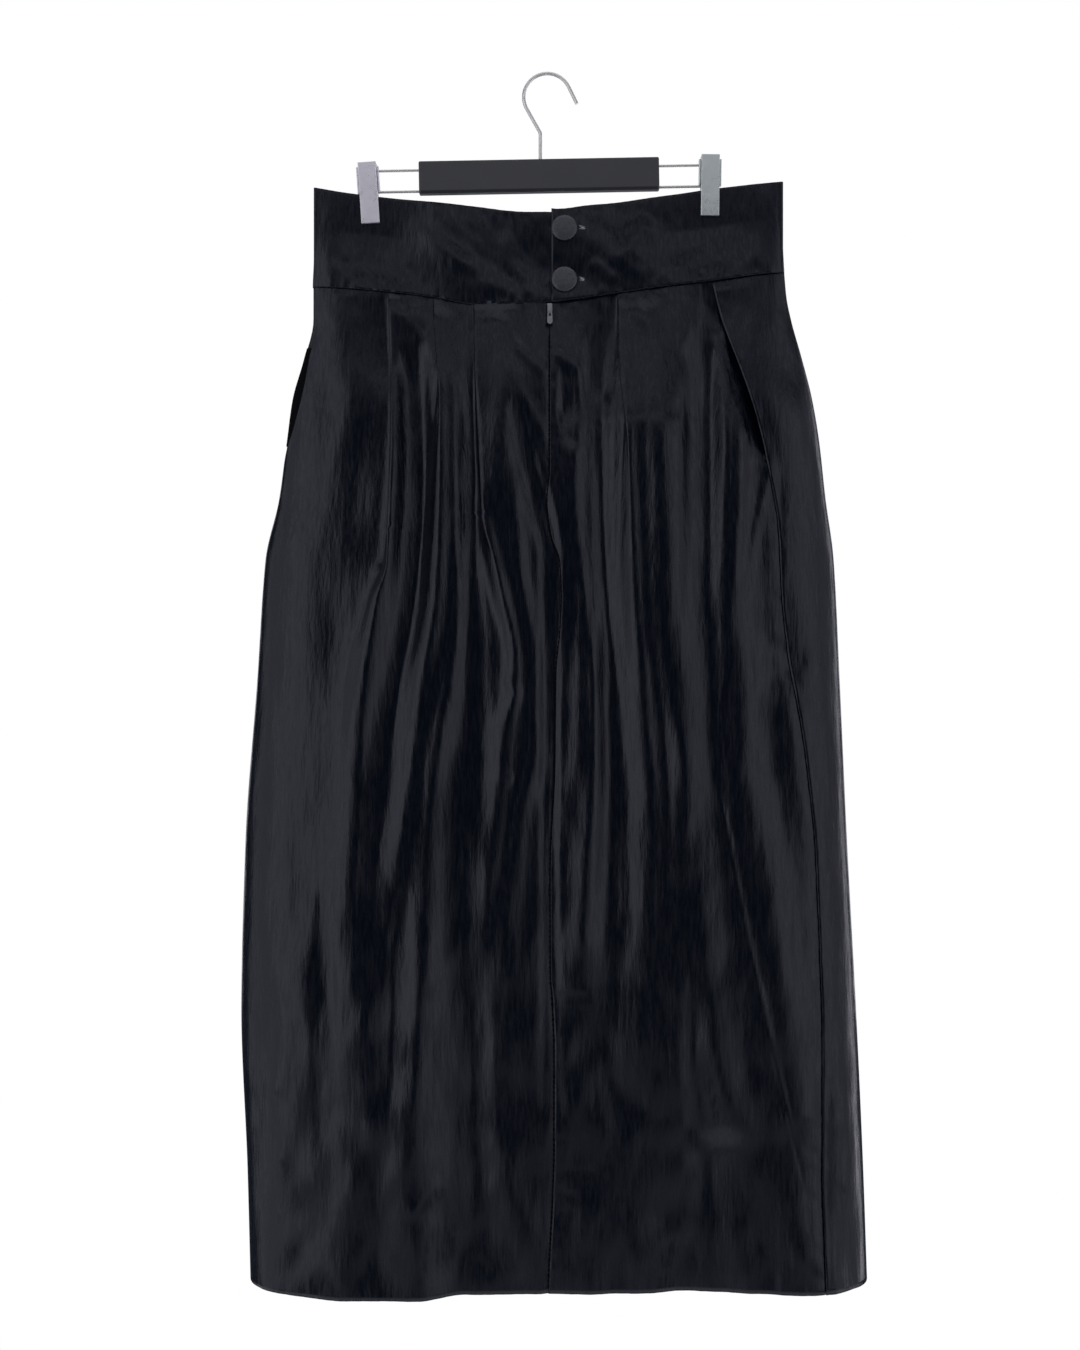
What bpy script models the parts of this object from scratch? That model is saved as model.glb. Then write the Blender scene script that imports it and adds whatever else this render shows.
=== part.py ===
"""Satin maxi skirt, seen from its buttoned back, hanging from a clip hanger.

Sizes are in millimetres and become metres when a mesh is made. X is to the right as the skirt is seen, the
back of the skirt faces -Y and Z is up. The origin is the top of the inside of the hook, where it hangs on a rail.
"""
import math

import bmesh
import bpy
from mathutils import Matrix, Vector

MM = 0.001
WELD = 0.00001
SMOOTH_ANGLE = math.radians(40)
ROD_SIDES = 20

# Cloth
CLOTH = 1.0
BAND_CLOTH = 1.6
SEAM_GAP = 0.3
BAND_SEAM_GAP = 0.45
LAYER = CLOTH + SEAM_GAP
BAND_LAYER = BAND_CLOTH + SEAM_GAP
SEAM_Z = -195
HEM_Z = -1073
SIDE_LAP = 16

# The skirt's tube, level by level: its two edges, how far its back and front stand out, and how square it is
TUBE_COLUMNS = ("z", "left", "right", "back", "front", "square")
TUBE = (
    (-178, -211, 213, 7.6, 7.6, 2.5),
    (-200, -211, 215, 9.2, 9.2, 2.5),
    (-220, -211, 219, 12, 12, 2.5),
    (-256, -219, 229, 18.5, 18.5, 2.4),
    (-292, -229, 238, 25.5, 25.5, 2.4),
    (-328, -234, 244, 32, 31.5, 2.4),
    (-382, -241, 250, 40, 38, 2.4),
    (-436, -253, 257, 46, 43, 2.5),
    (-544, -260, 262, 55, 52, 2.7),
    (-688, -270, 268, 66, 62, 2.9),
    (-832, -273, 275, 76, 70, 3.1),
    (-976, -267, 281, 83, 76, 3.2),
    (-1073, -264, 284, 87, 80, 3.3),
)

# Where the hem's sheet falls back between its two lobes, as a share of the tube's depth
HOLLOW_COLUMNS = ("across", "share")
HOLLOW = (
    (-1.0, 1.0),
    (-0.58, 1.0),
    (-0.44, 0.94),
    (-0.3, 0.78),
    (0.0, 0.74),
    (0.22, 0.72),
    (0.42, 0.66),
    (0.56, 0.75),
    (0.8, 0.95),
    (1.0, 1.0),
)
HOLLOW_TOP_Z = -300
HOLLOW_EASE = 700

# Height of the seam below the waistband and of the waistband's top edge, across the skirt
EDGE_COLUMNS = ("x", "seam", "top")
EDGES = (
    (-212, -191.4, -101.5),
    (-190, -192.6, -105.5),
    (-144, -196.9, -111.3),
    (-104, -201.8, -115.6),
    (-67, -208.2, -119.8),
    (-15, -207.2, -125.1),
    (2, -206.4, -125.1),
    (35, -202.8, -119.8),
    (63, -198.4, -116.3),
    (112, -191.2, -109.0),
    (148, -187.0, -103.4),
    (184, -181.5, -99.5),
    (213, -177.9, -96.5),
)

# Centre back seam: its place and how far the under side runs on behind it, wider along the vent
CENTRE_COLUMNS = ("z", "x", "lap")
CENTRE_SEAM = (
    (-206, 2.3, 12),
    (-360, 2.2, 12),
    (-385, -0.4, 12),
    (-418, 3.6, 12),
    (-440, 10.8, 12),
    (-470, 12.4, 12),
    (-500, 11.0, 12),
    (-536, 7.5, 12),
    (-623, 6.4, 12),
    (-713, 2.7, 12),
    (-800, 3.0, 12),
    (-822, 4.6, 31),
    (-863, 6.0, 31),
    (-943, 6.0, 31),
    (-1073, 0.7, 31),
)

# Right side seam, whose upper part is the pocket's mouth, and how far its upper sheet is lifted
SIDE_COLUMNS = ("z", "x", "lift")
RIGHT_SEAM = (
    (-187, 147, 2.2),
    (-223, 155.6, 3.0),
    (-267, 170.7, 4.2),
    (-307, 183.2, 4.6),
    (-340, 191.5, 3.6),
    (-352, 194.0, 2.0),
    (-404, 202.9, 0.8),
    (-472, 206, 0.6),
    (-544, 215, 0.5),
    (-616, 227, 0.5),
    (-706, 234.8, 0.5),
    (-796, 237.5, 0.5),
    (-1073, 239, 0.5),
)

BEFORE_CENTRE = 5.0
BEFORE_SIDE = 9.0

# Left side seam and pocket's mouth: how far the near sheet's edge lies in from the outline
MOUTH_COLUMNS = ("z", "gape")
LEFT_MOUTH = (
    (-178, 0.6),
    (-196, 2.5),
    (-215, 4.2),
    (-250, 5.0),
    (-290, 9.0),
    (-318, 6.0),
    (-340, 1.5),
    (-352, 0.6),
    (-1073, 0.6),
)
LEFT_LAP_STEPS = (0.0, 1.5, 4.0, 8.0, 14.0)
LEFT_LAP_DROP = 1.6

# Angles at which the front panel goes round the two edges, in degrees
LEFT_TURN = (184, 190)
RIGHT_TURN = (348, 356, 362, 368)

# Pleats: the place of each fold's edge, how far the fold laps over (below zero it has opened) and its height
PLEAT_COLUMNS = ("z", "x", "lap", "height")
PLEAT_OUTER = (
    (-180, -143, 14, 3.2),
    (-260, -140, 13, 3.8),
    (-330, -138.6, 9, 5.5),
    (-440, -139.5, -4, 8.0),
    (-475, -149, -9, 8.0),
    (-580, -164, -22, 6.5),
    (-700, -170, -30, 5.0),
    (-810, -176, -34, 3.6),
    (-1073, -184, -36, 1.6),
)
PLEAT_MIDDLE = (
    (-180, -103.5, 9, 3.2),
    (-225, -101, 6, 3.8),
    (-300, -95, -3, 5.5),
    (-455, -99, -12, 6.0),
    (-548, -110, -18, 5.0),
    (-645, -121, -22, 4.0),
    (-757, -138, -24, 3.0),
    (-1073, -146, -26, 1.4),
)
PLEAT_INNER = (
    (-180, -66.5, 14, 3.2),
    (-292, -64, 11, 4.4),
    (-364, -61, 6, 5.5),
    (-400, -58, 0, 6.5),
    (-443, -46, -8, 6.5),
    (-540, -29, -15, 5.0),
    (-620, -38, -20, 4.0),
    (-772, -60, -24, 3.0),
    (-1073, -66, -26, 1.4),
)
PLEAT_RIGHT = (
    (-180, 62.5, 12, 3.2),
    (-247, 62.5, 9, 3.8),
    (-337, 70, -3, 5.5),
    (-455, 73.5, -12, 6.0),
    (-586, 84.5, -18, 4.5),
    (-679, 91, -22, 3.6),
    (-791, 84, -24, 2.8),
    (-1073, 78, -26, 1.4),
)
FOLD_ROUND = 0.8
OPEN_ROUND = 6.0
OPENING = 6.0
FOLDED_LEVELS = (0.0, 0.25, 0.5, 0.5, 0.75, 1.0)
OPEN_LEVELS = (0.0, 0.06, 0.2, 0.8, 0.94, 1.0)

# Soft ridges (above zero) and troughs (below zero) of the hanging cloth: place, height and half width
RIDGE_COLUMNS = ("z", "x", "height", "width")
BACK_RIDGES = (
    ((-240, -120, -1, 9), (-330, -120, -6, 13), (-500, -119, -7, 16), (-640, -132, -3, 18), (-760, -150, 0, 20)),
    ((-300, -76, -1, 7), (-400, -74, -4, 8), (-520, -70, -3, 10), (-640, -86, -1, 12)),
    ((-400, -20, -1, 9), (-470, -14, -6, 14), (-640, -8, -7, 15), (-820, -7, -5, 14), (-1000, -8, -2, 12)),
    ((-330, 34, 2, 9), (-500, 40, 4, 9), (-640, 36, 4, 10), (-800, 26, 2, 12)),
    ((-320, 50, -2, 9), (-480, 52, -6, 11), (-700, 54, -6, 13), (-900, 52, -2, 15)),
    ((-300, 104, 2, 14), (-420, 106, 5, 15), (-620, 122, 5, 16), (-800, 118, 3, 18), (-960, 112, 1, 20)),
    ((-230, 140, -3, 9), (-320, 142, -8, 12), (-470, 140, -6, 13), (-600, 138, -2, 13)),
    ((-340, 168, 2, 11), (-480, 166, 4, 12), (-640, 174, 3, 14), (-800, 188, 1, 16)),
    ((-560, 196, -1, 12), (-620, 198, -5, 18), (-700, 200, -2, 16)),
    ((-600, -92, 2, 12), (-760, -104, 4, 14), (-900, -118, 3, 18), (-1020, -126, 1, 20)),
    ((-760, -134, -1, 16), (-900, -140, -4, 18), (-1040, -140, -3, 20)),
    ((-760, -70, -1, 14), (-900, -66, -4, 16), (-1040, -60, -2, 20)),
)
FRONT_RIDGES = (
    ((-260, -84, -2, 11), (-420, -86, -6, 15), (-640, -96, -4, 18), (-860, -110, -2, 22), (-1040, -116, -3, 26)),
    ((-260, 84, -2, 11), (-400, 88, -6, 14), (-620, 92, -5, 18), (-880, 104, -3, 22), (-1040, 112, -3, 26)),
    ((-330, -2, -2, 14), (-520, 2, -6, 20), (-760, -4, -4, 24), (-960, 4, -5, 30), (-1073, 6, -5, 32)),
    ((-360, -178, 2, 16), (-560, -186, 5, 18), (-800, -192, 4, 22), (-1000, -196, 3, 26)),
    ((-360, 180, 2, 16), (-540, 186, 4, 18), (-820, 196, 5, 22), (-1000, 200, 3, 26)),
    ((-420, 44, 1, 12), (-600, 48, 4, 14), (-820, 50, 4, 18), (-1000, 54, 2, 24)),
    ((-420, -46, 1, 12), (-620, -50, 4, 14), (-840, -54, 3, 18), (-1000, -58, 2, 24)),
)

RIDGE_FADE = 60.0
RELIEF_EDGE = 0.08
NORMAL_STEP = 0.02

# Shares of the way from the seam to the hem at which a sheet has a row of points
SHEET_ROWS = (
    0.0, 0.035, 0.075, 0.115, 0.16, 0.205, 0.25, 0.3, 0.35,
    0.4, 0.455, 0.52, 0.59, 0.665, 0.745, 0.83, 0.915, 1.0,
)

# Waistband
BAND_LEFT_X = -209.5
BAND_RIGHT_X = 211.5
BAND_FOLD = 1.3
BAND_END_GAP = 0.5
BAND_SEAM_DEPTH = 9.6
BAND_TOP_DEPTH = 5.0
BAND_PINCH = 1.15
PINCH_REACH = 60.0
PINCH_SHARE = 0.6
GRIP_HALF = 12.0
GRIP_DOWN = 48.0
BAND_ROWS = (0.0, 0.2, 0.4, 0.6, 0.8, 1.0)
BAND_END_X = 3.6
BAND_END_LAP = 34.0
BAND_END_LEVEL_OUT = 30.0
BAND_SQUARE = 2.5
BAND_NEAR_LAP = 5.0
BAND_NEAR_GRIP = 3.0
BAND_FOLD_SHARES = (0.0, 0.36, 0.7, 1.0)
BAND_LAP_SHARES = (0.0, 0.2, 0.45, 0.7, 1.0)
BAND_OUT_SHARES = (0.985, 0.96, 0.92, 0.84, 0.74, 0.66, 0.58, 0.48, 0.36, 0.24, 0.12)

# Buttons and their keyhole buttonholes
BUTTON_X = 15.2
BUTTON_Z = {"button_upper": -140.0, "button_lower": -186.3}
BUTTON_RADIUS = 11.5
BUTTON_RIM = 1.6
BUTTON_DOME = 3.6
BUTTON_SEAT = 0.45
SHANK_RADIUS = 1.6
SHANK_PLAY = 0.35
BUTTON_EDGE = 0.6
BUTTON_STEPS = 4
BUTTON_TURNS = 28
BUTTONHOLE_EYE = 2.0
BUTTONHOLE_SLIT = 1.0
BUTTONHOLE_END_X = 33.4
BUTTONHOLE_CUT = 40.0

# Zip
SLIDER_X = 2.2
SLIDER_TOP_Z = -208.2
SLIDER_LENGTH = 10.5
SLIDER_WIDTH = 4.4
SLIDER_DEPTH = 1.8
SLIDER_PLAY = 0.15
SLIDER_EDGE = 0.5
ARCH_WIDTH = 1.1
ARCH_LENGTH = 6.0
ARCH_RISE = 2.4
ARCH_WALL = 0.8
ARCH_SUNK = 0.2
ARCH_EDGE = 0.3
TAB_LENGTH = 13.0
TAB_WIDTH = 5.0
TAB_THICKNESS = 0.8
TAB_BAR = 0.9
TAB_EYE_WIDTH = 2.2
TAB_EYE_LENGTH = 4.6
TAB_SIDE = 0.8
TAB_END_START = math.radians(-15)
TAB_END_TURN = math.radians(210)
TAB_END_STEPS = 8
PIVOT_BELOW_TOP = 7.2

# Hanger
HOOK_WIRE = 1.55
HOOK_RADIUS = 21.3
HOOK_LEG_ANGLE = 209.4
HOOK_MOUTH_ANGLE = 26.0
HOOK_LEG = 25.0
HOOK_FLARE = 17.0
HOOK_BEND = 6.0
HOOK_STEM_IN_BAR = 14.0
STEM_BORE_PAST = 1.0
STEM_BORE_PLAY = 0.5
BAR_CENTRE = (-7.5, -91.0)
BAR_SIZE = (216.0, 9.0, 29.3)
BAR_EDGE = 1.3
HANGER_TILT = math.radians(1.04)
RAIL_RADIUS = 1.15
RAIL_SPACING = 19.0
RAIL_RISE = -2.2
RAIL_IN_BAR = 18.0
RAIL_BEND = 3.0
RAIL_IN_CLIP = 5.2
CLIP_WIDTH = 16.4
CLIP_LENGTH = 55.0
CLIP_WALL = 1.0
CLIP_DEPTH = 3.0
CLIP_EDGE = 0.5
CLIPS = {
    "left": {"top": (-162.2, -79.2), "lean": math.radians(-3.75), "out": -1},
    "right": {"top": (146.6, -72.3), "lean": math.radians(0.7), "out": 1},
}
EAR_THICKNESS = 1.6
EAR_HEIGHT = 24.0
EAR_CENTRE = 15.5
EAR_WEB = 0.9
EAR_WEB_INSET = 2.0
EAR_HOLE_DEPTH = 8.0
EAR_PAST_GRIP = 0.6
EAR_EDGE = 0.6
SPRING_RADIUS = 1.7
SPRING_LENGTH = 10.0
SPRING_INWARD = 2.9
WIRE_ROUNDNESS = 2
ARC_STEP = math.radians(12)

# Looks: base colour, roughness, metallic
SATIN = ((0.012, 0.013, 0.017), 0.42, 0.0)
BUTTON_CLOTH = ((0.02, 0.02, 0.022), 0.6, 0.0)
DARK_METAL = ((0.2, 0.2, 0.21), 0.35, 1.0)
CHROME = ((0.72, 0.74, 0.76), 0.22, 1.0)
WIRE_STEEL = ((0.6, 0.6, 0.59), 0.3, 1.0)
SOFT_PLASTIC = ((0.045, 0.047, 0.05), 0.6, 0.0)


def clear_scene():
    """Remove the objects that a new file starts with."""
    for thing in list(bpy.data.objects):
        bpy.data.objects.remove(thing, do_unlink=True)


def new_collection(name):
    """Collection linked to the scene."""
    collection = bpy.data.collections.new(name)
    bpy.context.scene.collection.children.link(collection)
    return collection


def make_material(name, looks):
    """Principled material from a base colour, a roughness and a metallic value."""
    colour, roughness, metallic = looks
    material = bpy.data.materials.new(name)
    material.use_nodes = True
    surface = material.node_tree.nodes["Principled BSDF"]
    surface.inputs["Base Color"].default_value = (*colour, 1.0)
    surface.inputs["Roughness"].default_value = roughness
    surface.inputs["Metallic"].default_value = metallic
    material.diffuse_color = (*colour, 1.0)
    return material


def add_object(name, data, looks, parent=None):
    """Object in the skirt's collection with a material of its own."""
    thing = bpy.data.objects.new(name, data)
    data.materials.append(make_material(name, looks))
    PARTS.objects.link(thing)
    thing.parent = parent
    return thing


def add_cutter(name, mesh, parent=None):
    """Object that only shapes others."""
    thing = bpy.data.objects.new(name, mesh)
    CUTTERS.objects.link(thing)
    thing.parent = parent
    thing.hide_render = True
    thing.display_type = "WIRE"
    return thing


def smooth_curve(rows, columns, wanted):
    """Function that follows a table's wanted column smoothly and never overshoots its rows."""
    ordered = sorted(rows)
    stops = [row[0] for row in ordered]
    values = [row[columns.index(wanted)] for row in ordered]
    steps = [after - before for before, after in zip(stops, stops[1:])]
    slopes = [(values[i + 1] - values[i]) / steps[i] for i in range(len(steps))]
    tangents = [slopes[0]]
    for before, after in zip(slopes, slopes[1:]):
        same_way = before * after > 0
        tangents.append(2 * before * after / (before + after) if same_way else 0.0)
    tangents.append(slopes[-1])

    def value(at):
        at = min(max(at, stops[0]), stops[-1])
        i = max(n for n in range(len(steps)) if stops[n] <= at)
        share = (at - stops[i]) / steps[i]
        start = values[i] + share * steps[i] * tangents[i] * (1 - share) ** 2
        end = steps[i] * tangents[i + 1] * share**2 * (share - 1)
        rise = (values[i + 1] - values[i]) * share**2 * (3 - 2 * share)
        return start + end + rise

    return value


def table_curves(rows, columns):
    """Every column of a table but the first, as smooth curves by name."""
    return {name: smooth_curve(rows, columns, name) for name in columns[1:]}


TUBE_CURVES = table_curves(TUBE, TUBE_COLUMNS)
HOLLOW_CURVE = smooth_curve(HOLLOW, HOLLOW_COLUMNS, "share")
EDGE_CURVES = table_curves(EDGES, EDGE_COLUMNS)
CENTRE_CURVES = table_curves(CENTRE_SEAM, CENTRE_COLUMNS)
SIDE_CURVES = table_curves(RIGHT_SEAM, SIDE_COLUMNS)
MOUTH_CURVE = smooth_curve(LEFT_MOUTH, MOUTH_COLUMNS, "gape")
RIDGE_CURVES = {
    "back": [table_curves(rows, RIDGE_COLUMNS) for rows in BACK_RIDGES],
    "front": [table_curves(rows, RIDGE_COLUMNS) for rows in FRONT_RIDGES],
}
RIDGE_ENDS = {
    "back": [(min(rows)[0], max(rows)[0]) for rows in BACK_RIDGES],
    "front": [(min(rows)[0], max(rows)[0]) for rows in FRONT_RIDGES],
}


def ease(share):
    """Soft step from 0 to 1."""
    share = min(max(share, 0.0), 1.0)
    return share * share * (3 - 2 * share)


def mix(start, end, share):
    """Value a share of the way from start to end."""
    return start + (end - start) * share


def tube_middle(z):
    """Middle of the tube's width and half of that width."""
    left = TUBE_CURVES["left"](z)
    right = TUBE_CURVES["right"](z)
    return (left + right) / 2, (right - left) / 2


def tube_angle(side, x, z):
    """Angle round the tube: 0 at the right edge, 90 degrees mid back, 180 at the left edge."""
    middle, half = tube_middle(z)
    angle = math.acos(min(max((x - middle) / half, -1.0), 1.0))
    return angle if side == "back" else math.tau - angle


def tube_depth(side, across, z):
    """How far the tube's wall stands from its middle plane."""
    square = TUBE_CURVES["square"](z)
    round_off = max(1 - abs(across) ** square, 0.0) ** (1 / square)
    share = HOLLOW_CURVE(across if side == "back" else -across)
    hollow = mix(1.0, share, ease((HOLLOW_TOP_Z - z) / HOLLOW_EASE))
    return TUBE_CURVES[side](z) * round_off * hollow


def relief(side, x, z):
    """Height of the soft folds at one place."""
    total = 0.0
    for curves, (low, high) in zip(RIDGE_CURVES[side], RIDGE_ENDS[side]):
        fade = ease((high + RIDGE_FADE - z) / RIDGE_FADE) * ease((z - low + RIDGE_FADE) / RIDGE_FADE)
        away = (x - curves["x"](z)) / curves["width"](z)
        total += fade * curves["height"](z) * math.exp(-away * away)
    return total


def bare_point(angle, z):
    """Point of the tube's plain form, with no folds."""
    side = "back" if math.sin(angle) >= 0 else "front"
    middle, half = tube_middle(z)
    across = math.cos(angle)
    depth = tube_depth(side, across, z)
    return Vector((middle + half * across, -depth if side == "back" else depth, z))


def tube_point(angle, z, level):
    """Point of a sheet that lies on the tube, level millimetres outside its form."""
    point = bare_point(angle, z)
    along = bare_point(angle + NORMAL_STEP, z) - bare_point(angle - NORMAL_STEP, z)
    outward = Vector((-along.y, along.x, 0)).normalized()
    if outward.dot(Vector((math.cos(angle), -math.sin(angle), 0))) < 0:
        outward.negate()
    side = "back" if math.sin(angle) >= 0 else "front"
    edge_fade = ease((1 - abs(math.cos(angle))) / RELIEF_EDGE)
    return point + outward * (level + edge_fade * relief(side, point.x, z))


def at_x(side, x, level, turn=0.0):
    """Station of a sheet at a place across the skirt; x and level follow the height."""
    return lambda z: (tube_angle(side, x(z), z) + turn, level(z))


def at_angle(degrees, level):
    """Station of a sheet at an angle round the tube."""
    return lambda z: (math.radians(degrees), level(z))


def between(first, second, share):
    """Station a share of the way from one station to the next."""

    def station(z):
        start = first(z)
        end = second(z)
        return mix(start[0], end[0], share), mix(start[1], end[1], share)

    return station


def fill_in(stations, counts):
    """Stations with the counted number of others spread between each two."""
    filled = []
    for first, second, count in zip(stations, stations[1:], counts):
        filled.append(first)
        filled.extend(between(first, second, (n + 1) / (count + 1)) for n in range(count))
    filled.append(stations[-1])
    return filled


def pleat_stations(side, rows, mirror=1):
    """Six stations of a pleat, from its under layer over both folds to its upper layer, in the order of x.

    The upper layer lies on the +X side of the fold's edge, or on the -X side where the pleat is mirrored.
    """
    curves = table_curves(rows, PLEAT_COLUMNS)

    def station(number):
        def place(z):
            lap = curves["lap"](z)
            height = curves["height"](z)
            shut = lap / math.hypot(lap, OPENING)
            rounding = mix(OPEN_ROUND, FOLD_ROUND, (shut + 1) / 2)
            if lap < 0:
                rounding = min(rounding, max(-lap / 4, FOLD_ROUND))
            offsets = (
                lap - rounding,
                lap,
                lap - rounding * shut,
                rounding * shut,
                0.0,
                rounding,
            )
            level = mix(OPEN_LEVELS[number], FOLDED_LEVELS[number], (shut + 1) / 2) * height
            x = mirror * (curves["x"](z) + offsets[number])
            return tube_angle(side, x, z), level

        return place

    order = range(6) if mirror == 1 else range(5, -1, -1)
    return [station(number) for number in order]


def seam_height(station):
    """Height at which a station meets the seam under the waistband."""
    z = SEAM_Z
    for _ in range(3):
        x = bare_point(station(z)[0], z).x
        z = EDGE_CURVES["seam"](x) - BAND_SEAM_GAP
    return z


def sheet_point(station, share):
    """Point of a sheet at a share of the way from the seam under the waistband to the hem."""
    z = mix(seam_height(station), HEM_Z, share)
    angle, level = station(z)
    return tube_point(angle, z, level)


def grid_mesh(name, points):
    """Open sheet through a grid of points, given as rows of columns."""
    rows = len(points)
    columns = len(points[0])
    sheet = bmesh.new()
    bmesh.ops.create_grid(sheet, x_segments=columns - 1, y_segments=rows - 1, size=1)
    sheet.verts.ensure_lookup_table()
    for number, vert in enumerate(sheet.verts):
        vert.co = points[number // columns][number % columns] * MM
    mesh = bpy.data.meshes.new(name)
    sheet.to_mesh(mesh)
    sheet.free()
    mesh.shade_smooth()
    return mesh


def add_wall(name, points, thickness, looks):
    """Cloth wall with its middle on a grid of points."""
    wall = add_object(name, grid_mesh(name, points), looks)
    solid = wall.modifiers.new("Cloth", "SOLIDIFY")
    solid.thickness = thickness * MM
    solid.offset = 0.0
    solid.use_even_offset = False
    return wall


def skirt_panel(name, stations):
    """One cut panel of the skirt."""
    points = [[sheet_point(station, share) for station in stations] for share in SHEET_ROWS]
    return add_wall(name, points, CLOTH, SATIN)


def flat(z):
    """Level of a sheet that lies on the tube's form."""
    return 0.0


def left_seam_station(step, level):
    """Station beside the left side seam, a step in from the near sheet's edge."""
    return at_x("back", lambda z: TUBE_CURVES["left"](z) + MOUTH_CURVE(z) + step, level)


def left_seam_stations(level):
    """Stations across the lap of the left side seam."""
    return [left_seam_station(step, level) for step in LEFT_LAP_STEPS]


def centre_stations(level):
    """Stations across the centre seam's lap."""
    return [
        at_x("back", lambda z: CENTRE_CURVES["x"](z), level),
        at_x("back", lambda z: CENTRE_CURVES["x"](z) + CENTRE_CURVES["lap"](z) / 2, level),
        at_x("back", lambda z: CENTRE_CURVES["x"](z) + CENTRE_CURVES["lap"](z), level),
    ]


def right_seam_stations(drop, turn=0.0):
    """Stations across the lap of the right side seam."""

    def lifted(z):
        return SIDE_CURVES["lift"](z) - drop

    return [
        at_x("back", lambda z: SIDE_CURVES["x"](z), lifted, turn),
        at_x("back", lambda z: SIDE_CURVES["x"](z) + SIDE_LAP / 2, lifted, turn),
        at_x("back", lambda z: SIDE_CURVES["x"](z) + SIDE_LAP, lifted, turn),
    ]


def before_centre(z):
    """Place just left of the centre seam."""
    return CENTRE_CURVES["x"](z) - BEFORE_CENTRE


def before_right_seam(z):
    """Place just left of the right side seam."""
    return SIDE_CURVES["x"](z) - BEFORE_SIDE


def build_back_left():
    """Back panel left of the centre seam, whose vent underlay runs on behind the right one."""
    stations = left_seam_stations(flat)
    stations += pleat_stations("back", PLEAT_OUTER)
    stations += pleat_stations("back", PLEAT_MIDDLE)
    stations += pleat_stations("back", PLEAT_INNER)
    stations.append(at_x("back", before_centre, flat))
    stations += centre_stations(lambda z: -LAYER)
    counts = [0, 0, 0, 0, 2] + [0] * 2 + [1] + [0] * 2 + [2] + [0] * 5 + [2] + [0] * 5 + [3, 0, 0, 0]
    return skirt_panel("skirt_back_left", fill_in(stations, counts))


def build_back_right():
    """Back panel right of the centre seam, up to its lap under the right side seam."""
    stations = centre_stations(flat)
    stations += pleat_stations("back", PLEAT_RIGHT)
    stations.append(at_x("back", before_right_seam, flat))
    stations += right_seam_stations(LAYER)
    counts = [0, 0, 2] + [0] * 5 + [5, 0, 0, 0]
    return skirt_panel("skirt_back_right", fill_in(stations, counts))


def build_front():
    """Front panel: under the left seam, round the left edge, along the far side and round the right edge."""
    stations = left_seam_stations(lambda z: -LEFT_LAP_DROP)[::-1]
    stations += [at_angle(LEFT_TURN[0], lambda z: -LEFT_LAP_DROP / 4), at_angle(LEFT_TURN[1], flat)]
    for rows in (PLEAT_OUTER, PLEAT_MIDDLE, PLEAT_INNER):
        stations += pleat_stations("front", rows)
    for rows in (PLEAT_INNER, PLEAT_MIDDLE, PLEAT_OUTER):
        stations += pleat_stations("front", rows, -1)
    stations += [at_angle(degrees, flat) for degrees in RIGHT_TURN]
    stations += right_seam_stations(0.0, math.tau)[::-1]
    pleat = [0] * 5
    between_pleats = [1] + pleat
    counts = [0] * 6 + [3] + pleat + between_pleats * 2 + [4] + pleat + between_pleats * 2
    counts += [2, 0, 0, 0, 1, 0, 0]
    return skirt_panel("skirt_front", fill_in(stations, counts))


def grip_x(clip):
    """Place across the waistband where a clip's leaning jaws hold it."""
    return clip["top"][0] - math.sin(clip["lean"]) * GRIP_DOWN


def pinch(x):
    """Share of the clips' grip on the waistband at a place across it."""
    away = min(abs(x - grip_x(clip)) for clip in CLIPS.values())
    return ease((GRIP_HALF + PINCH_REACH - away) / PINCH_REACH)


def band_depth(x, rise):
    """How far the waistband's wall stands from the middle plane; rise is 0 at its seam and 1 at its top."""
    middle = (BAND_LEFT_X + BAND_RIGHT_X) / 2
    half = (BAND_RIGHT_X - BAND_LEFT_X) / 2 - BAND_FOLD
    across = min(abs(x - middle) / half, 1.0)
    belly = mix(BAND_SEAM_DEPTH, BAND_TOP_DEPTH, rise) * (1 - across**BAND_SQUARE) ** (1 / BAND_SQUARE)
    held = pinch(x) * ease(rise / PINCH_SHARE)
    return mix(max(belly, BAND_FOLD), BAND_PINCH, held)


def band_point(side, x, level, rise):
    """Point of the waistband's wall."""
    z = mix(EDGE_CURVES["seam"](x), EDGE_CURVES["top"](x), rise)
    depth = band_depth(x, rise) + level
    return Vector((x, -depth if side == "back" else depth, z))


def band_fold_points(side, end, rise):
    """Points round the waistband's folded end, from the flat to just before the side seam."""
    x_end = BAND_LEFT_X if end < 0 else BAND_RIGHT_X
    x_start = x_end - end * BAND_FOLD
    z = mix(EDGE_CURVES["seam"](x_start), EDGE_CURVES["top"](x_start), rise)
    last = math.acos(BAND_END_GAP / BAND_FOLD)
    points = []
    for share in BAND_FOLD_SHARES:
        turn = last * share
        depth = BAND_FOLD * math.cos(turn)
        x = x_start + end * BAND_FOLD * math.sin(turn)
        points.append(Vector((x, -depth if side == "back" else depth, z)))
    return points


def band_xs(end):
    """Places across one half of the waistband, from the middle outward, three of them in a clip's grip."""
    middle = (BAND_LEFT_X + BAND_RIGHT_X) / 2
    half = (BAND_RIGHT_X - BAND_LEFT_X) / 2 - BAND_FOLD
    held = grip_x(CLIPS["left" if end < 0 else "right"])
    places = [middle + end * half * share for share in BAND_OUT_SHARES]
    places = [x for x in places if abs(x - held) > GRIP_HALF + BAND_NEAR_GRIP]
    places += [held - GRIP_HALF, held, held + GRIP_HALF]
    return sorted(places, key=lambda x: abs(x - middle))


def lap_level(x):
    """Extra level of the waistband's over end, easing back to the form beyond the lap."""
    return BAND_LAYER * ease((BAND_END_X + BAND_END_LAP + BAND_END_LEVEL_OUT - x) / BAND_END_LEVEL_OUT)


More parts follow.
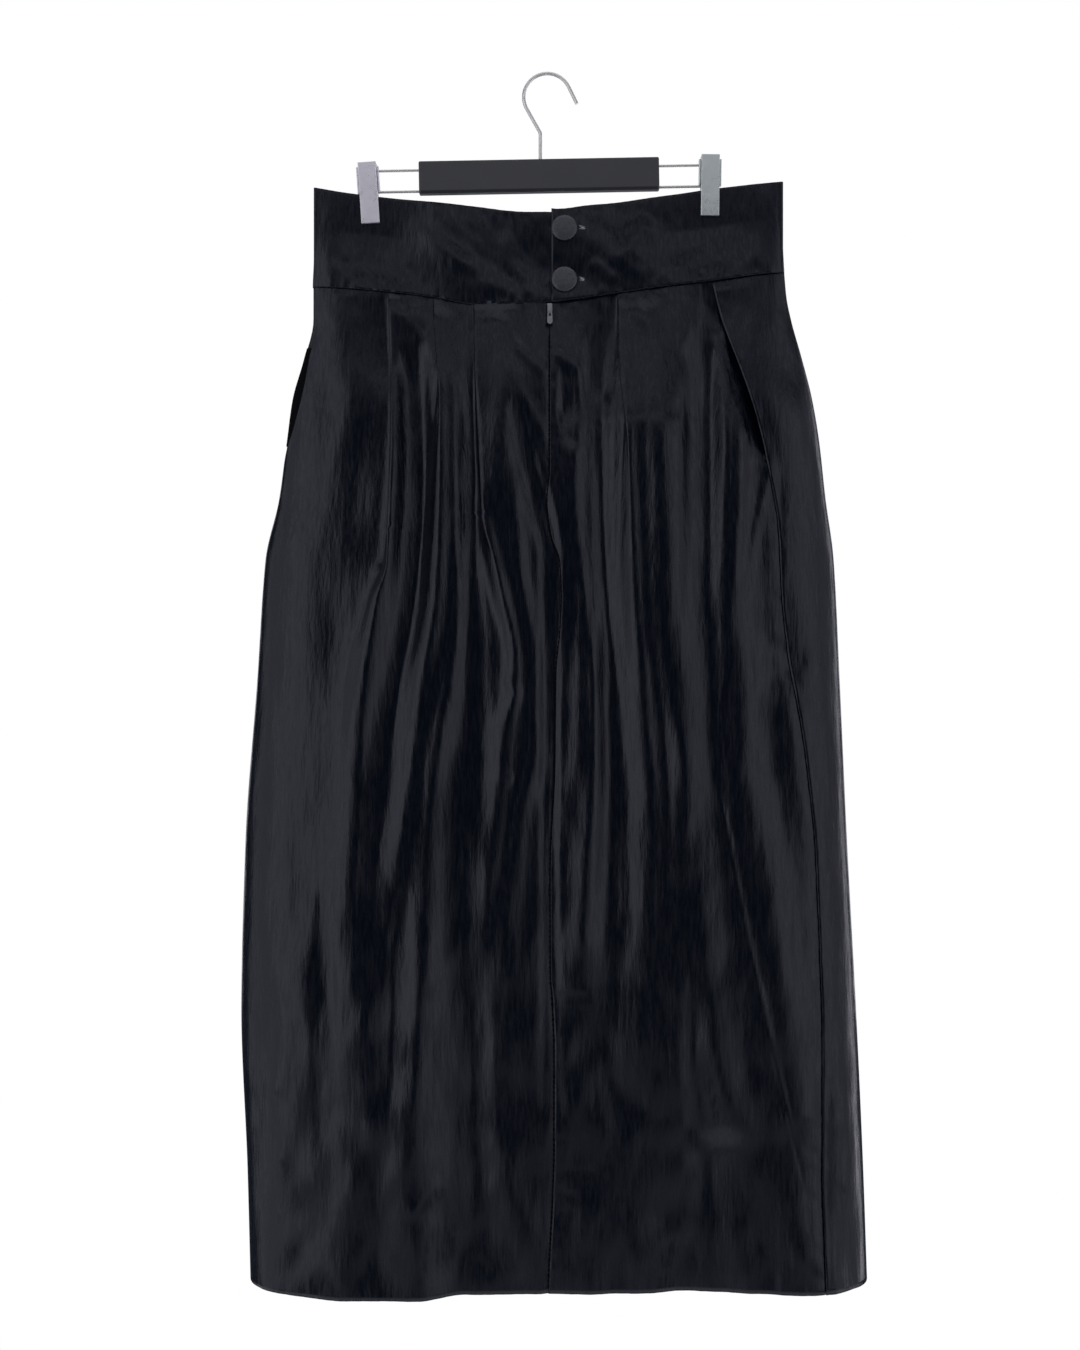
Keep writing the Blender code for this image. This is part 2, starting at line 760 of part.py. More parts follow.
def lap_xs():
    """Places across the lap of the waistband's ends."""
    return [BAND_END_X + BAND_END_LAP * share for share in BAND_LAP_SHARES]


def build_band_back_left():
    """Back waistband with the under end, on the left."""
    points = []
    for rise in BAND_ROWS:
        row = band_fold_points("back", -1, rise)[::-1]
        outer = [x for x in band_xs(-1)[::-1] if x < BAND_END_X - BAND_NEAR_LAP]
        row += [band_point("back", x, 0.0, rise) for x in outer + lap_xs()]
        points.append(row)
    return add_wall("waistband_back_left", points, BAND_CLOTH, SATIN)


def build_band_back_right():
    """Back waistband with the over end and its two buttonholes, on the right."""
    points = []
    for rise in BAND_ROWS:
        outer = [x for x in band_xs(1) if x > BAND_END_X + BAND_END_LAP + BAND_NEAR_LAP]
        row = [band_point("back", x, lap_level(x), rise) for x in lap_xs() + outer]
        row += band_fold_points("back", 1, rise)
        points.append(row)
    band = add_wall("waistband_back_right", points, BAND_CLOTH, SATIN)
    for name, z in BUTTON_Z.items():
        cut(band, buttonhole_cutter(name.replace("button", "buttonhole"), z))
    return band


def build_band_front():
    """Front waistband, in one piece from side to side."""
    points = []
    for rise in BAND_ROWS:
        row = band_fold_points("front", -1, rise)[::-1]
        middle = (BAND_LEFT_X + BAND_RIGHT_X) / 2
        row += [band_point("front", x, 0.0, rise) for x in band_xs(-1)[::-1] + [middle] + band_xs(1)]
        row += band_fold_points("front", 1, rise)
        points.append(row)
    return add_wall("waistband_front", points, BAND_CLOTH, SATIN)


def cut(thing, cutter, operation="DIFFERENCE"):
    """Shape one object with another."""
    modifier = thing.modifiers.new(cutter.name, "BOOLEAN")
    modifier.operation = operation
    modifier.solver = "EXACT"
    modifier.object = cutter
    return modifier


def box_mesh(name, size, centre=(0, 0, 0), bevel=0.0):
    """Box of a size in millimetres, with its edges rounded by bevel."""
    box = bmesh.new()
    bmesh.ops.create_cube(box, size=1)
    bmesh.ops.scale(box, vec=Vector(size) * MM, verts=box.verts)
    bmesh.ops.translate(box, vec=Vector(centre) * MM, verts=box.verts)
    if bevel:
        bmesh.ops.bevel(box, geom=box.edges, offset=bevel * MM, segments=2, profile=0.5, affect="EDGES")
    mesh = bpy.data.meshes.new(name)
    box.to_mesh(mesh)
    box.free()
    return mesh


def rod_mesh(name, radius, length, axis, centre=(0, 0, 0), sides=ROD_SIDES):
    """Cylinder along one axis."""
    rod = bmesh.new()
    bmesh.ops.create_cone(
        rod, cap_ends=True, segments=sides, radius1=radius * MM, radius2=radius * MM, depth=length * MM
    )
    turn = {
        "x": Matrix.Rotation(math.pi / 2, 4, "Y"),
        "y": Matrix.Rotation(math.pi / 2, 4, "X"),
        "z": Matrix.Identity(4),
    }[axis]
    bmesh.ops.transform(rod, matrix=Matrix.Translation(Vector(centre) * MM) @ turn, verts=rod.verts)
    mesh = bpy.data.meshes.new(name)
    rod.to_mesh(mesh)
    rod.free()
    mesh.shade_smooth()
    mesh.set_sharp_from_angle(angle=SMOOTH_ANGLE)
    return mesh


def buttonhole_cutter(name, z):
    """Keyhole cutter: a round eye for the shank and a slit to its right."""
    depth = BUTTONHOLE_CUT
    slit = BUTTONHOLE_END_X - BUTTON_X
    eye = add_cutter(name, rod_mesh(name, BUTTONHOLE_EYE, depth, "y"))
    eye.location = Vector((BUTTON_X, -depth / 2, z)) * MM
    bar_name = name + "_slit"
    bar = add_cutter(bar_name, box_mesh(bar_name, (slit, depth, BUTTONHOLE_SLIT), (slit / 2, 0, 0)), eye)
    cut(eye, bar, "UNION")
    return eye


def over_end_front(z):
    """Y of the over end's outer face behind a button."""
    seam = EDGE_CURVES["seam"](BUTTON_X)
    rise = (z - seam) / (EDGE_CURVES["top"](BUTTON_X) - seam)
    return -(band_depth(BUTTON_X, rise) + BAND_LAYER + BAND_CLOTH / 2)


def build_button(name, z):
    """Covered dome button, turned, with its shank through the buttonhole."""
    shank = BAND_CLOTH + SHANK_PLAY
    profile = [(0.0, BUTTON_DOME)]
    for step in range(1, BUTTON_STEPS + 1):
        turn = step / BUTTON_STEPS * math.pi / 2
        rise = BUTTON_RIM + (BUTTON_DOME - BUTTON_RIM) * math.cos(turn)
        profile.append((BUTTON_RADIUS * math.sin(turn), rise))
    profile += [
        (BUTTON_RADIUS, BUTTON_EDGE),
        (BUTTON_RADIUS - BUTTON_EDGE, 0.0),
        (SHANK_RADIUS, 0.0),
        (SHANK_RADIUS, -shank),
        (0.0, -shank),
    ]
    mesh = bpy.data.meshes.new(name)
    edges = [(n, n + 1) for n in range(len(profile) - 1)]
    mesh.from_pydata([(x * MM, 0, y * MM) for x, y in profile], edges, [])
    button = add_object(name, mesh, BUTTON_CLOTH)
    turned = button.modifiers.new("Turned", "SCREW")
    turned.steps = BUTTON_TURNS
    turned.render_steps = BUTTON_TURNS
    turned.use_merge_vertices = True
    turned.merge_threshold = WELD
    slope = (over_end_front(z + BUTTON_RADIUS) - over_end_front(z - BUTTON_RADIUS)) / (2 * BUTTON_RADIUS)
    face_y = (over_end_front(z + BUTTON_RADIUS) + over_end_front(z - BUTTON_RADIUS)) / 2
    button.rotation_euler = (math.pi / 2 - math.atan(slope), 0, 0)
    button.location = Vector((BUTTON_X, face_y - BUTTON_SEAT, z)) * MM
    return button


def slider_frame():
    """Empty on the cloth's slope at the top of the zip, which carries the slider and its tab."""
    low_z = SLIDER_TOP_Z - SLIDER_LENGTH - TAB_LENGTH
    top_y = tube_point(tube_angle("back", SLIDER_X, SLIDER_TOP_Z), SLIDER_TOP_Z, 0).y
    low_y = tube_point(tube_angle("back", SLIDER_X, low_z), low_z, 0).y
    frame = bpy.data.objects.new("slider_frame", None)
    PARTS.objects.link(frame)
    frame.location = Vector((SLIDER_X, top_y - CLOTH / 2 - SEAM_GAP - SLIDER_PLAY, SLIDER_TOP_Z)) * MM
    frame.rotation_euler = (-math.atan((top_y - low_y) / (SLIDER_TOP_Z - low_z)), 0, 0)
    return frame


def build_slider(frame):
    """Zip slider: a small body with the arch that holds the pull tab."""
    name = "zip_slider"
    front_y = -SLIDER_DEPTH
    size = (SLIDER_WIDTH, SLIDER_DEPTH, SLIDER_LENGTH)
    mesh = box_mesh(name, size, (0, front_y / 2, -SLIDER_LENGTH / 2), SLIDER_EDGE)
    slider = add_object(name, mesh, DARK_METAL, frame)
    arch_centre = (0, front_y - ARCH_RISE / 2 + ARCH_SUNK, -PIVOT_BELOW_TOP)
    size = (ARCH_WIDTH, ARCH_RISE + 2 * ARCH_SUNK, ARCH_LENGTH)
    arch = add_cutter("slider_arch", box_mesh("slider_arch", size, arch_centre, ARCH_EDGE), slider)
    eye_size = (ARCH_WIDTH * 3, ARCH_RISE - ARCH_WALL, ARCH_LENGTH - 2 * ARCH_WALL)
    eye_centre = (0, front_y - (ARCH_RISE - ARCH_WALL) / 2, -PIVOT_BELOW_TOP)
    eye = add_cutter("slider_arch_eye", box_mesh("slider_arch_eye", eye_size, eye_centre), slider)
    cut(slider, arch, "UNION")
    cut(slider, eye)
    return slider


def build_pull_tab(frame):
    """Teardrop pull tab whose upper bar turns under the slider's arch; its origin is on that bar's axis."""
    name = "zip_pull_tab"
    outline = []
    top = TAB_BAR / 2
    half_top = TAB_EYE_WIDTH / 2 + TAB_SIDE
    end_radius = TAB_WIDTH / 2
    centre_z = -(TAB_LENGTH - top - end_radius)
    for step in range(TAB_END_STEPS + 1):
        turn = TAB_END_START + TAB_END_TURN * step / TAB_END_STEPS
        outline.append((end_radius * math.cos(turn), centre_z - end_radius * math.sin(turn)))
    outline += [(-half_top, top), (half_top, top)]
    eye_top = -TAB_BAR / 2
    eye_bottom = eye_top - TAB_EYE_LENGTH
    half_eye = TAB_EYE_WIDTH / 2
    eye = [(-half_eye, eye_top), (-half_eye, eye_bottom), (half_eye, eye_bottom), (half_eye, eye_top)]
    flat_shape = bpy.data.curves.new(name, "CURVE")
    flat_shape.dimensions = "2D"
    flat_shape.fill_mode = "BOTH"
    flat_shape.extrude = TAB_THICKNESS / 2 * MM
    for loop in (outline, eye):
        spline = flat_shape.splines.new("POLY")
        spline.points.add(len(loop) - 1)
        for point, (x, y) in zip(spline.points, loop):
            point.co = (x * MM, y * MM, 0, 1)
        spline.use_cyclic_u = True
    tab = add_object(name, flat_shape, DARK_METAL, frame)
    tab.rotation_euler = (math.pi / 2, 0, 0)
    tab.location = Vector((0, -SLIDER_DEPTH - (ARCH_RISE - ARCH_WALL) / 2, -PIVOT_BELOW_TOP)) * MM
    weld = tab.modifiers.new("Weld", "WELD")
    weld.merge_threshold = WELD
    return tab


def arc_points(centre, radius, start, end):
    """Points of an arc in the XZ plane, between two angles."""
    count = max(2, math.ceil(abs(end - start) / ARC_STEP))
    points = []
    for n in range(count + 1):
        angle = mix(start, end, n / count)
        points.append(Vector((centre[0] + radius * math.cos(angle), 0, centre[1] + radius * math.sin(angle))))
    return points


def build_wire(name, points, radius, looks, parent=None):
    """Round wire along a line of points, with closed ends."""
    path = bpy.data.curves.new(name, "CURVE")
    path.dimensions = "3D"
    path.bevel_depth = radius * MM
    path.bevel_resolution = WIRE_ROUNDNESS
    path.use_fill_caps = True
    spline = path.splines.new("POLY")
    spline.points.add(len(points) - 1)
    for point, place in zip(spline.points, points):
        point.co = (*(place * MM), 1)
    wire = add_object(name, path, looks, parent)
    weld = wire.modifiers.new("Weld", "WELD")
    weld.merge_threshold = WELD
    return wire


def bar_local(x, z):
    """World place in the XZ plane, in the tilted bar's own axes."""
    away = Vector((x - BAR_CENTRE[0], 0, z - BAR_CENTRE[1]))
    return Matrix.Rotation(HANGER_TILT, 3, "Y") @ away


def build_hook():
    """Hook of bent wire, whose leg turns down into the bar; gives the place of its stem."""
    centre = (0.0, -(HOOK_RADIUS - HOOK_WIRE))
    mouth = math.radians(HOOK_MOUTH_ANGLE)
    leg = math.radians(HOOK_LEG_ANGLE)
    crown = arc_points(centre, HOOK_RADIUS, mouth, leg)
    flare = Vector((math.sin(mouth), 0, -math.cos(mouth)))
    down = Vector((-math.sin(leg), 0, math.cos(leg)))
    slant = math.atan2(down.x, -down.z)
    setback = HOOK_BEND * math.tan(slant / 2)
    corner = crown[-1] + down * HOOK_LEG
    bend_centre = (corner.x - HOOK_BEND, corner.z - setback)
    bend = arc_points(bend_centre, HOOK_BEND, slant, 0.0)
    stem_end = Vector((corner.x, 0, BAR_CENTRE[1] + BAR_SIZE[2] / 2 - HOOK_STEM_IN_BAR))
    points = [crown[0] + flare * HOOK_FLARE] + crown + bend + [stem_end]
    build_wire("hanger_hook", points, HOOK_WIRE, WIRE_STEEL)
    return corner.x


def rail_points(side):
    """Rail's wire in the bar's axes: in from the bar, round the far end and back."""
    clip = CLIPS[side]
    out = clip["out"]
    end = bar_local(clip["top"][0] + out * RAIL_IN_CLIP, clip["top"][1])
    start_x = out * (BAR_SIZE[0] / 2 - RAIL_IN_BAR)
    upper = RAIL_RISE + RAIL_SPACING / 2
    lower = RAIL_RISE - RAIL_SPACING / 2
    far = end.x
    turn_x = far - out * RAIL_BEND
    side_angle = 0.0 if out > 0 else math.pi
    top_turn = arc_points((turn_x, upper - RAIL_BEND), RAIL_BEND, math.pi / 2, side_angle)
    low_end = -math.pi / 2 if out > 0 else 3 * math.pi / 2
    low_turn = arc_points((turn_x, lower + RAIL_BEND), RAIL_BEND, side_angle, low_end)
    return [Vector((start_x, 0, upper))] + top_turn + low_turn + [Vector((start_x, 0, lower))]


def build_bar(stem_x):
    """Bar with bores for the rails and the hook's stem, under an empty that carries the hanger's tilt."""
    hanger = bpy.data.objects.new("hanger_tilt", None)
    PARTS.objects.link(hanger)
    hanger.location = Vector((BAR_CENTRE[0], 0, BAR_CENTRE[1])) * MM
    hanger.rotation_euler = (0, -HANGER_TILT, 0)
    name = "hanger_bar"
    bar = add_object(name, box_mesh(name, BAR_SIZE, (0, 0, 0), BAR_EDGE), SOFT_PLASTIC, hanger)
    bore = RAIL_RADIUS + SEAM_GAP
    for side, clip in CLIPS.items():
        for place, rise in (("upper", RAIL_SPACING / 2), ("lower", -RAIL_SPACING / 2)):
            name = f"bore_{side}_{place}"
            depth = (RAIL_IN_BAR + SEAM_GAP) * 2
            centre = (clip["out"] * BAR_SIZE[0] / 2, 0, RAIL_RISE + rise)
            cut(bar, add_cutter(name, rod_mesh(name, bore, depth, "x", centre), hanger))
    stem = bar_local(stem_x, BAR_CENTRE[1] + BAR_SIZE[2] / 2)
    depth = (HOOK_STEM_IN_BAR + STEM_BORE_PAST) * 2
    name = "bore_stem"
    mesh = rod_mesh(name, HOOK_WIRE + STEM_BORE_PLAY, depth, "z", (stem.x, 0, BAR_SIZE[2] / 2))
    cut(bar, add_cutter(name, mesh, hanger))
    for side in CLIPS:
        build_wire(f"hanger_rail_{side}", rail_points(side), RAIL_RADIUS, WIRE_STEEL, hanger)
    return hanger


def jaw_mesh(name, facing):
    """Pressed jaw: a shallow channel whose flanges point at the cloth; facing is -1 in front and 1 behind."""
    grip = BAND_PINCH + BAND_CLOTH / 2 + SEAM_GAP
    centre_y = facing * (grip + CLIP_DEPTH / 2)
    size = (CLIP_WIDTH, CLIP_DEPTH, CLIP_LENGTH)
    return box_mesh(name, size, (0, centre_y, -CLIP_LENGTH / 2), CLIP_EDGE), grip


def hollow_jaw(jaw, facing, grip, clip_frame):
    """Cut the channel into a jaw."""
    name = jaw.name + "_hollow"
    size = (CLIP_WIDTH - 2 * CLIP_WALL, CLIP_DEPTH, CLIP_LENGTH - 2 * CLIP_WALL)
    centre = (0, facing * (grip + CLIP_DEPTH / 2 - CLIP_WALL), -CLIP_LENGTH / 2)
    cut(jaw, add_cutter(name, box_mesh(name, size, centre), clip_frame))


def build_clip(side, hanger):
    """Clip of two jaws and a spring, riding on the rail's two runs."""
    clip = CLIPS[side]
    frame = bpy.data.objects.new(f"clip_frame_{side}", None)
    PARTS.objects.link(frame)
    frame.location = Vector((clip["top"][0], 0, clip["top"][1])) * MM
    frame.rotation_euler = (0, clip["lean"], 0)
    name = f"clip_front_jaw_{side}"
    mesh, grip = jaw_mesh(name, -1)
    front = add_object(name, mesh, CHROME, frame)
    hollow_jaw(front, -1, grip, frame)
    name = f"clip_back_jaw_{side}"
    mesh, grip = jaw_mesh(name, 1)
    back = add_object(name, mesh, CHROME, frame)
    hollow_jaw(back, 1, grip, frame)
    for way in (-1, 1):
        ear_name = f"clip_ear_{side}_{'left' if way < 0 else 'right'}"
        reach = 2 * grip + 2 * EAR_PAST_GRIP
        inner = CLIP_WIDTH / 2 + SEAM_GAP
        ear_x = way * (inner + EAR_THICKNESS / 2)
        ear_centre = (ear_x, grip + EAR_WEB - reach / 2, -EAR_CENTRE)
        size = (EAR_THICKNESS, reach, EAR_HEIGHT)
        ear = add_cutter(ear_name, box_mesh(ear_name, size, ear_centre, EAR_EDGE), frame)
        web_name = ear_name + "_web"
        web_centre = (way * (inner - SEAM_GAP), grip + EAR_WEB / 2, -EAR_CENTRE)
        web_size = (EAR_THICKNESS + CLIP_WALL, EAR_WEB, EAR_HEIGHT - 2 * EAR_WEB_INSET)
        web = add_cutter(web_name, box_mesh(web_name, web_size, web_centre), frame)
        cut(back, ear, "UNION")
        cut(back, web, "UNION")
        if way != clip["out"]:
            for place, rise in (("upper", RAIL_SPACING / 2), ("lower", -RAIL_SPACING / 2)):
                hole_name = f"{ear_name}_{place}"
                mesh = rod_mesh(hole_name, RAIL_RADIUS + SEAM_GAP, EAR_HOLE_DEPTH, "x")
                hole = add_cutter(hole_name, mesh, hanger)
                near = bar_local(clip["top"][0] + ear_x, clip["top"][1])
                hole.location = Vector((near.x, 0, RAIL_RISE + rise)) * MM
                cut(back, hole)
    name = f"clip_spring_{side}"
    centre = (-clip["out"] * SPRING_INWARD, 0, -EAR_CENTRE)
    add_object(name, rod_mesh(name, SPRING_RADIUS, SPRING_LENGTH, "x", centre), WIRE_STEEL, frame)


def build_hanger():
    """Hook, bar, rails and clips."""
    hanger = build_bar(build_hook())
    for side in CLIPS:
        build_clip(side, hanger)


clear_scene()
PARTS = new_collection("satin_maxi_skirt")
CUTTERS = new_collection("cutters")
build_back_left()
build_back_right()
build_front()
build_band_back_left()
build_band_back_right()
build_band_front()
for button_name, button_z in BUTTON_Z.items():
    build_button(button_name, button_z)
zip_frame = slider_frame()
build_slider(zip_frame)
build_pull_tab(zip_frame)
build_hanger()
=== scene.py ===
"""Looks of a black satin maxi skirt that hangs from a clip hanger, its buttoned back to the camera.

Tables are in millimetres and meshes in metres, in the model's own frame: X to the right, the skirt's back
towards -Y, Z up. The cloth is laid on the same tube as its solids, with more points, softer folds and finer
creases.
"""

import math

import bpy
import numpy as np
from mathutils import Matrix, Vector

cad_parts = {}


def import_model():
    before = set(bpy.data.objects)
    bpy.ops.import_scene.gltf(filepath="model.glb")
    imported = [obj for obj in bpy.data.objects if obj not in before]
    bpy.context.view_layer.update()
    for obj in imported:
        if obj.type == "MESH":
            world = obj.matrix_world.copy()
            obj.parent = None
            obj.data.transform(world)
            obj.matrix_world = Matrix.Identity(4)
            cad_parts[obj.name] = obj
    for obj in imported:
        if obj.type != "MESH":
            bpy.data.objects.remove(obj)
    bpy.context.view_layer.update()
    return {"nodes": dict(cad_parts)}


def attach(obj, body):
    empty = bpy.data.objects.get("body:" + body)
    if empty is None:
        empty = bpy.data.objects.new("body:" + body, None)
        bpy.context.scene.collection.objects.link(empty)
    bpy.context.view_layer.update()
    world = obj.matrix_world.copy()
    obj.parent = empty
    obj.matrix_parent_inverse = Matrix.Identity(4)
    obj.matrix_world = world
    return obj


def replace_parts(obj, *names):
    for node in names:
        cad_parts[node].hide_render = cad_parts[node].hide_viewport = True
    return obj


MM = 0.001
BODY = "skirt_and_hanger"

# Camera, and the picture in which the places of folds are given
PICTURE = (1080, 1350)
CAMERA_X = -6.6
CAMERA_Z = -539.7
CAMERA_AWAY = 1500.0
FRAME_HEIGHT = 1215.0
SENSOR = 36.0

# Cloth
SHELL = 0.45
LAYER = 1.3
BAND_LAYER = 1.9
SEAM_Z = -195
HEM_Z = -1073
SIDE_LAP = 16

# The tube that the cloth is laid on, and how far it sinks across its back
TUBE_COLUMNS = ("z", "left", "right", "back", "front", "square")
TUBE = (
    (-178, -211, 213, 7.6, 7.6, 2.5),
    (-200, -211, 215, 9.2, 9.2, 2.5),
    (-220, -211, 219, 12, 12, 2.5),
    (-256, -219, 229, 18.5, 18.5, 2.4),
    (-292, -229, 238, 25.5, 25.5, 2.4),
    (-328, -234, 244, 32, 31.5, 2.4),
    (-382, -241, 250, 40, 38, 2.4),
    (-436, -253, 257, 46, 43, 2.5),
    (-544, -260, 262, 55, 52, 2.7),
    (-688, -270, 268, 66, 62, 2.9),
    (-832, -273, 275, 76, 70, 3.1),
    (-976, -267, 281, 83, 76, 3.2),
    (-1073, -264, 284, 87, 80, 3.3),
)
HOLLOW_COLUMNS = ("across", "share")
HOLLOW = (
    (-1.0, 1.0),
    (-0.58, 1.0),
    (-0.44, 0.94),
    (-0.3, 0.78),
    (0.0, 0.74),
    (0.22, 0.72),
    (0.42, 0.66),
    (0.56, 0.75),
    (0.8, 0.95),
    (1.0, 1.0),
)
HOLLOW_TOP_Z = -300
HOLLOW_EASE = 700
# Heights of the waistband's seam and top across the skirt
EDGE_COLUMNS = ("x", "seam", "top")
EDGES = (
    (-212, -191.4, -101.5),
    (-190, -192.6, -105.5),
    (-144, -196.9, -111.3),
    (-104, -201.8, -115.6),
    (-67, -208.2, -119.8),
    (-15, -207.2, -125.1),
    (2, -206.4, -125.1),
    (35, -202.8, -119.8),
    (63, -198.4, -116.3),
    (112, -191.2, -109.0),
    (148, -187.0, -103.4),
    (184, -181.5, -99.5),
    (213, -177.9, -96.5),
)
# Edges of the seams, how far the cloth laps at them and how far the pockets gape
CENTRE_COLUMNS = ("z", "x", "lap")
CENTRE_SEAM = (
    (-206, 2.3, 12),
    (-360, 2.2, 12),
    (-385, -0.4, 12),
    (-418, 3.6, 12),
    (-440, 10.8, 12),
    (-470, 12.4, 12),
    (-500, 11.0, 12),
    (-536, 7.5, 12),
    (-623, 6.4, 12),
    (-713, 2.7, 12),
    (-800, 3.0, 12),
    (-822, 4.6, 31),
    (-863, 6.0, 31),
    (-943, 6.0, 31),
    (-1073, 0.7, 31),
)
SIDE_COLUMNS = ("z", "x", "lift")
RIGHT_SEAM = (
    (-187, 147, 2.2),
    (-223, 155.6, 3.0),
    (-267, 170.7, 4.2),
    (-307, 183.2, 4.6),
    (-340, 191.5, 3.6),
    (-352, 194.0, 2.0),
    (-404, 202.9, 0.8),
    (-472, 206, 0.6),
    (-544, 215, 0.5),
    (-616, 227, 0.5),
    (-706, 234.8, 0.5),
    (-796, 237.5, 0.5),
    (-1073, 239, 0.5),
)
BEFORE_CENTRE = 5.0
BEFORE_SIDE = 9.0
MOUTH_COLUMNS = ("z", "gape")
LEFT_MOUTH = (
    (-178, 0.6),
    (-196, 2.5),
    (-215, 4.2),
    (-250, 5.0),
    (-290, 9.0),
    (-318, 6.0),
    (-340, 1.5),
    (-352, 0.6),
    (-1073, 0.6),
)
RIGHT_MOUTH = (
    (-178, 0.0),
    (-196, 1.0),
    (-225, 3.4),
    (-270, 6.4),
    (-310, 7.2),
    (-336, 5.4),
    (-350, 1.0),
    (-360, 0.0),
    (-1073, 0.0),
)
BEFORE_MOUTH = 15.0
LEFT_LAP_STEPS = (0.0, 1.5, 4.0, 8.0, 14.0)
LEFT_LAP_DROP = 1.6
DROP_START = 0.25
SEAM_SHARES = (0.0, 0.5, 1.0)
LEFT_TURN = (184, 190)
RIGHT_TURN = (348, 356, 362, 368)

# Folded edges of the pleats; a negative lap is an opened pleat
PLEAT_COLUMNS = ("z", "x", "lap", "height")
PLEAT_OUTER = (
    (-180, -143, 14, 3.2),
    (-260, -140, 13, 3.8),
    (-330, -138.6, 9, 5.5),
    (-440, -139.5, -4, 8.0),
    (-475, -149, -9, 7.5),
    (-580, -164, -22, 4.6),
    (-700, -170, -30, 2.2),
    (-810, -176, -34, 1.0),
    (-1073, -184, -36, 0.3),
)
PLEAT_MIDDLE = (
    (-180, -103.5, 9, 3.2),
    (-225, -101, 6, 3.8),
    (-300, -95, -3, 5.5),
    (-455, -99, -12, 6.0),
    (-548, -110, -15, 3.6),
    (-645, -121, -15, 2.0),
    (-757, -138, -13, 1.0),
    (-1073, -146, -12, 0.3),
)
PLEAT_INNER = (
    (-180, -66.5, 14, 3.2),
    (-292, -64, 11, 4.4),
    (-364, -61, 6, 5.5),
    (-400, -58, 0, 6.5),
    (-443, -46, -8, 6.5),
    (-540, -29, -15, 3.8),
    (-620, -38, -20, 2.2),
    (-772, -60, -24, 1.0),
    (-1073, -66, -26, 0.3),
)
PLEAT_RIGHT = (
    (-180, 62.5, 12, 3.2),
    (-247, 62.5, 9, 3.8),
    (-337, 70, -3, 5.5),
    (-455, 73.5, -12, 6.0),
    (-586, 84.5, -18, 3.4),
    (-679, 91, -22, 2.0),
    (-791, 84, -24, 1.0),
    (-1073, 78, -26, 0.3),
)
FOLD_ROUND = 0.8
OPEN_ROUND = 6.0
OPENING = 6.0
LAP_ROUND = 0.25
FOLDED_LEVELS = (0.0, 0.25, 0.5, 0.5, 0.75, 1.0)
OPEN_LEVELS = (0.0, 0.06, 0.2, 0.8, 0.94, 1.0)

# Main folds of both sides
RIDGE_COLUMNS = ("z", "x", "height", "width")
BACK_RIDGES = (
    ((-240, -120, -0.5, 14), (-330, -120, -1.5, 18), (-500, -119, -1.5, 20), (-640, -132, -1, 20),
     (-760, -150, 0, 20)),
    ((-300, -76, -0.5, 9), (-400, -74, -1, 12), (-520, -70, -1, 12), (-640, -86, -0.5, 14)),
    ((-400, -20, -0.5, 12), (-470, -14, -2, 18), (-640, -8, -2.5, 20), (-820, -7, -2, 20),
     (-1000, -8, -1, 18)),
    ((-330, 34, 2, 9), (-500, 40, 4, 9), (-640, 36, 4, 10), (-800, 26, 2, 12)),
    ((-320, 50, -1, 12), (-480, 52, -2, 16), (-700, 54, -2, 18), (-900, 52, -1, 20)),
    ((-300, 104, 2, 14), (-420, 106, 5, 15), (-620, 122, 5, 16), (-800, 118, 3, 18), (-960, 112, 1, 20)),
    ((-230, 140, -1, 12), (-320, 142, -2.5, 16), (-470, 140, -2, 18), (-600, 138, -1, 18)),
    ((-340, 168, 2, 11), (-480, 166, 4, 12), (-640, 174, 3, 14), (-800, 188, 1, 16)),
    ((-560, 196, -1, 12), (-620, 198, -5, 18), (-700, 200, -2, 16)),
    ((-600, -92, 2, 12), (-760, -104, 4, 14), (-900, -118, 3, 18), (-1020, -126, 1, 20)),
    ((-760, -134, -1, 16), (-900, -140, -4, 18), (-1040, -140, -3, 20)),
    ((-760, -70, -1, 14), (-900, -66, -4, 16), (-1040, -60, -2, 20)),
)
FRONT_RIDGES = (
    ((-260, -84, -2, 11), (-420, -86, -6, 15), (-640, -96, -4, 18), (-860, -110, -2, 22),
     (-1040, -116, -3, 26)),
    ((-260, 84, -2, 11), (-400, 88, -6, 14), (-620, 92, -5, 18), (-880, 104, -3, 22), (-1040, 112, -3, 26)),
    ((-330, -2, -2, 14), (-520, 2, -6, 20), (-760, -4, -4, 24), (-960, 4, -5, 30), (-1073, 6, -5, 32)),
    ((-360, -178, 2, 16), (-560, -186, 5, 18), (-800, -192, 4, 22), (-1000, -196, 3, 26)),
    ((-360, 180, 2, 16), (-540, 186, 4, 18), (-820, 196, 5, 22), (-1000, 200, 3, 26)),
    ((-420, 44, 1, 12), (-600, 48, 4, 14), (-820, 50, 4, 18), (-1000, 54, 2, 24)),
    ((-420, -46, 1, 12), (-620, -50, 4, 14), (-840, -54, 3, 18), (-1000, -58, 2, 24)),
)
RIDGE_FADE = 60.0
RELIEF_EDGE = 0.08
NORMAL_STEP = 0.02
SHORTEST = 1e-9
SHORTEST_STEP = 1e-4
SEAM_ROUNDS = 3
# Rows from seam to hem and spacing of the points across each panel
PANEL_GRIDS = {"satin_back_left": (230, 2.3), "satin_back_right": (230, 2.2), "satin_front": (168, 3.8)}

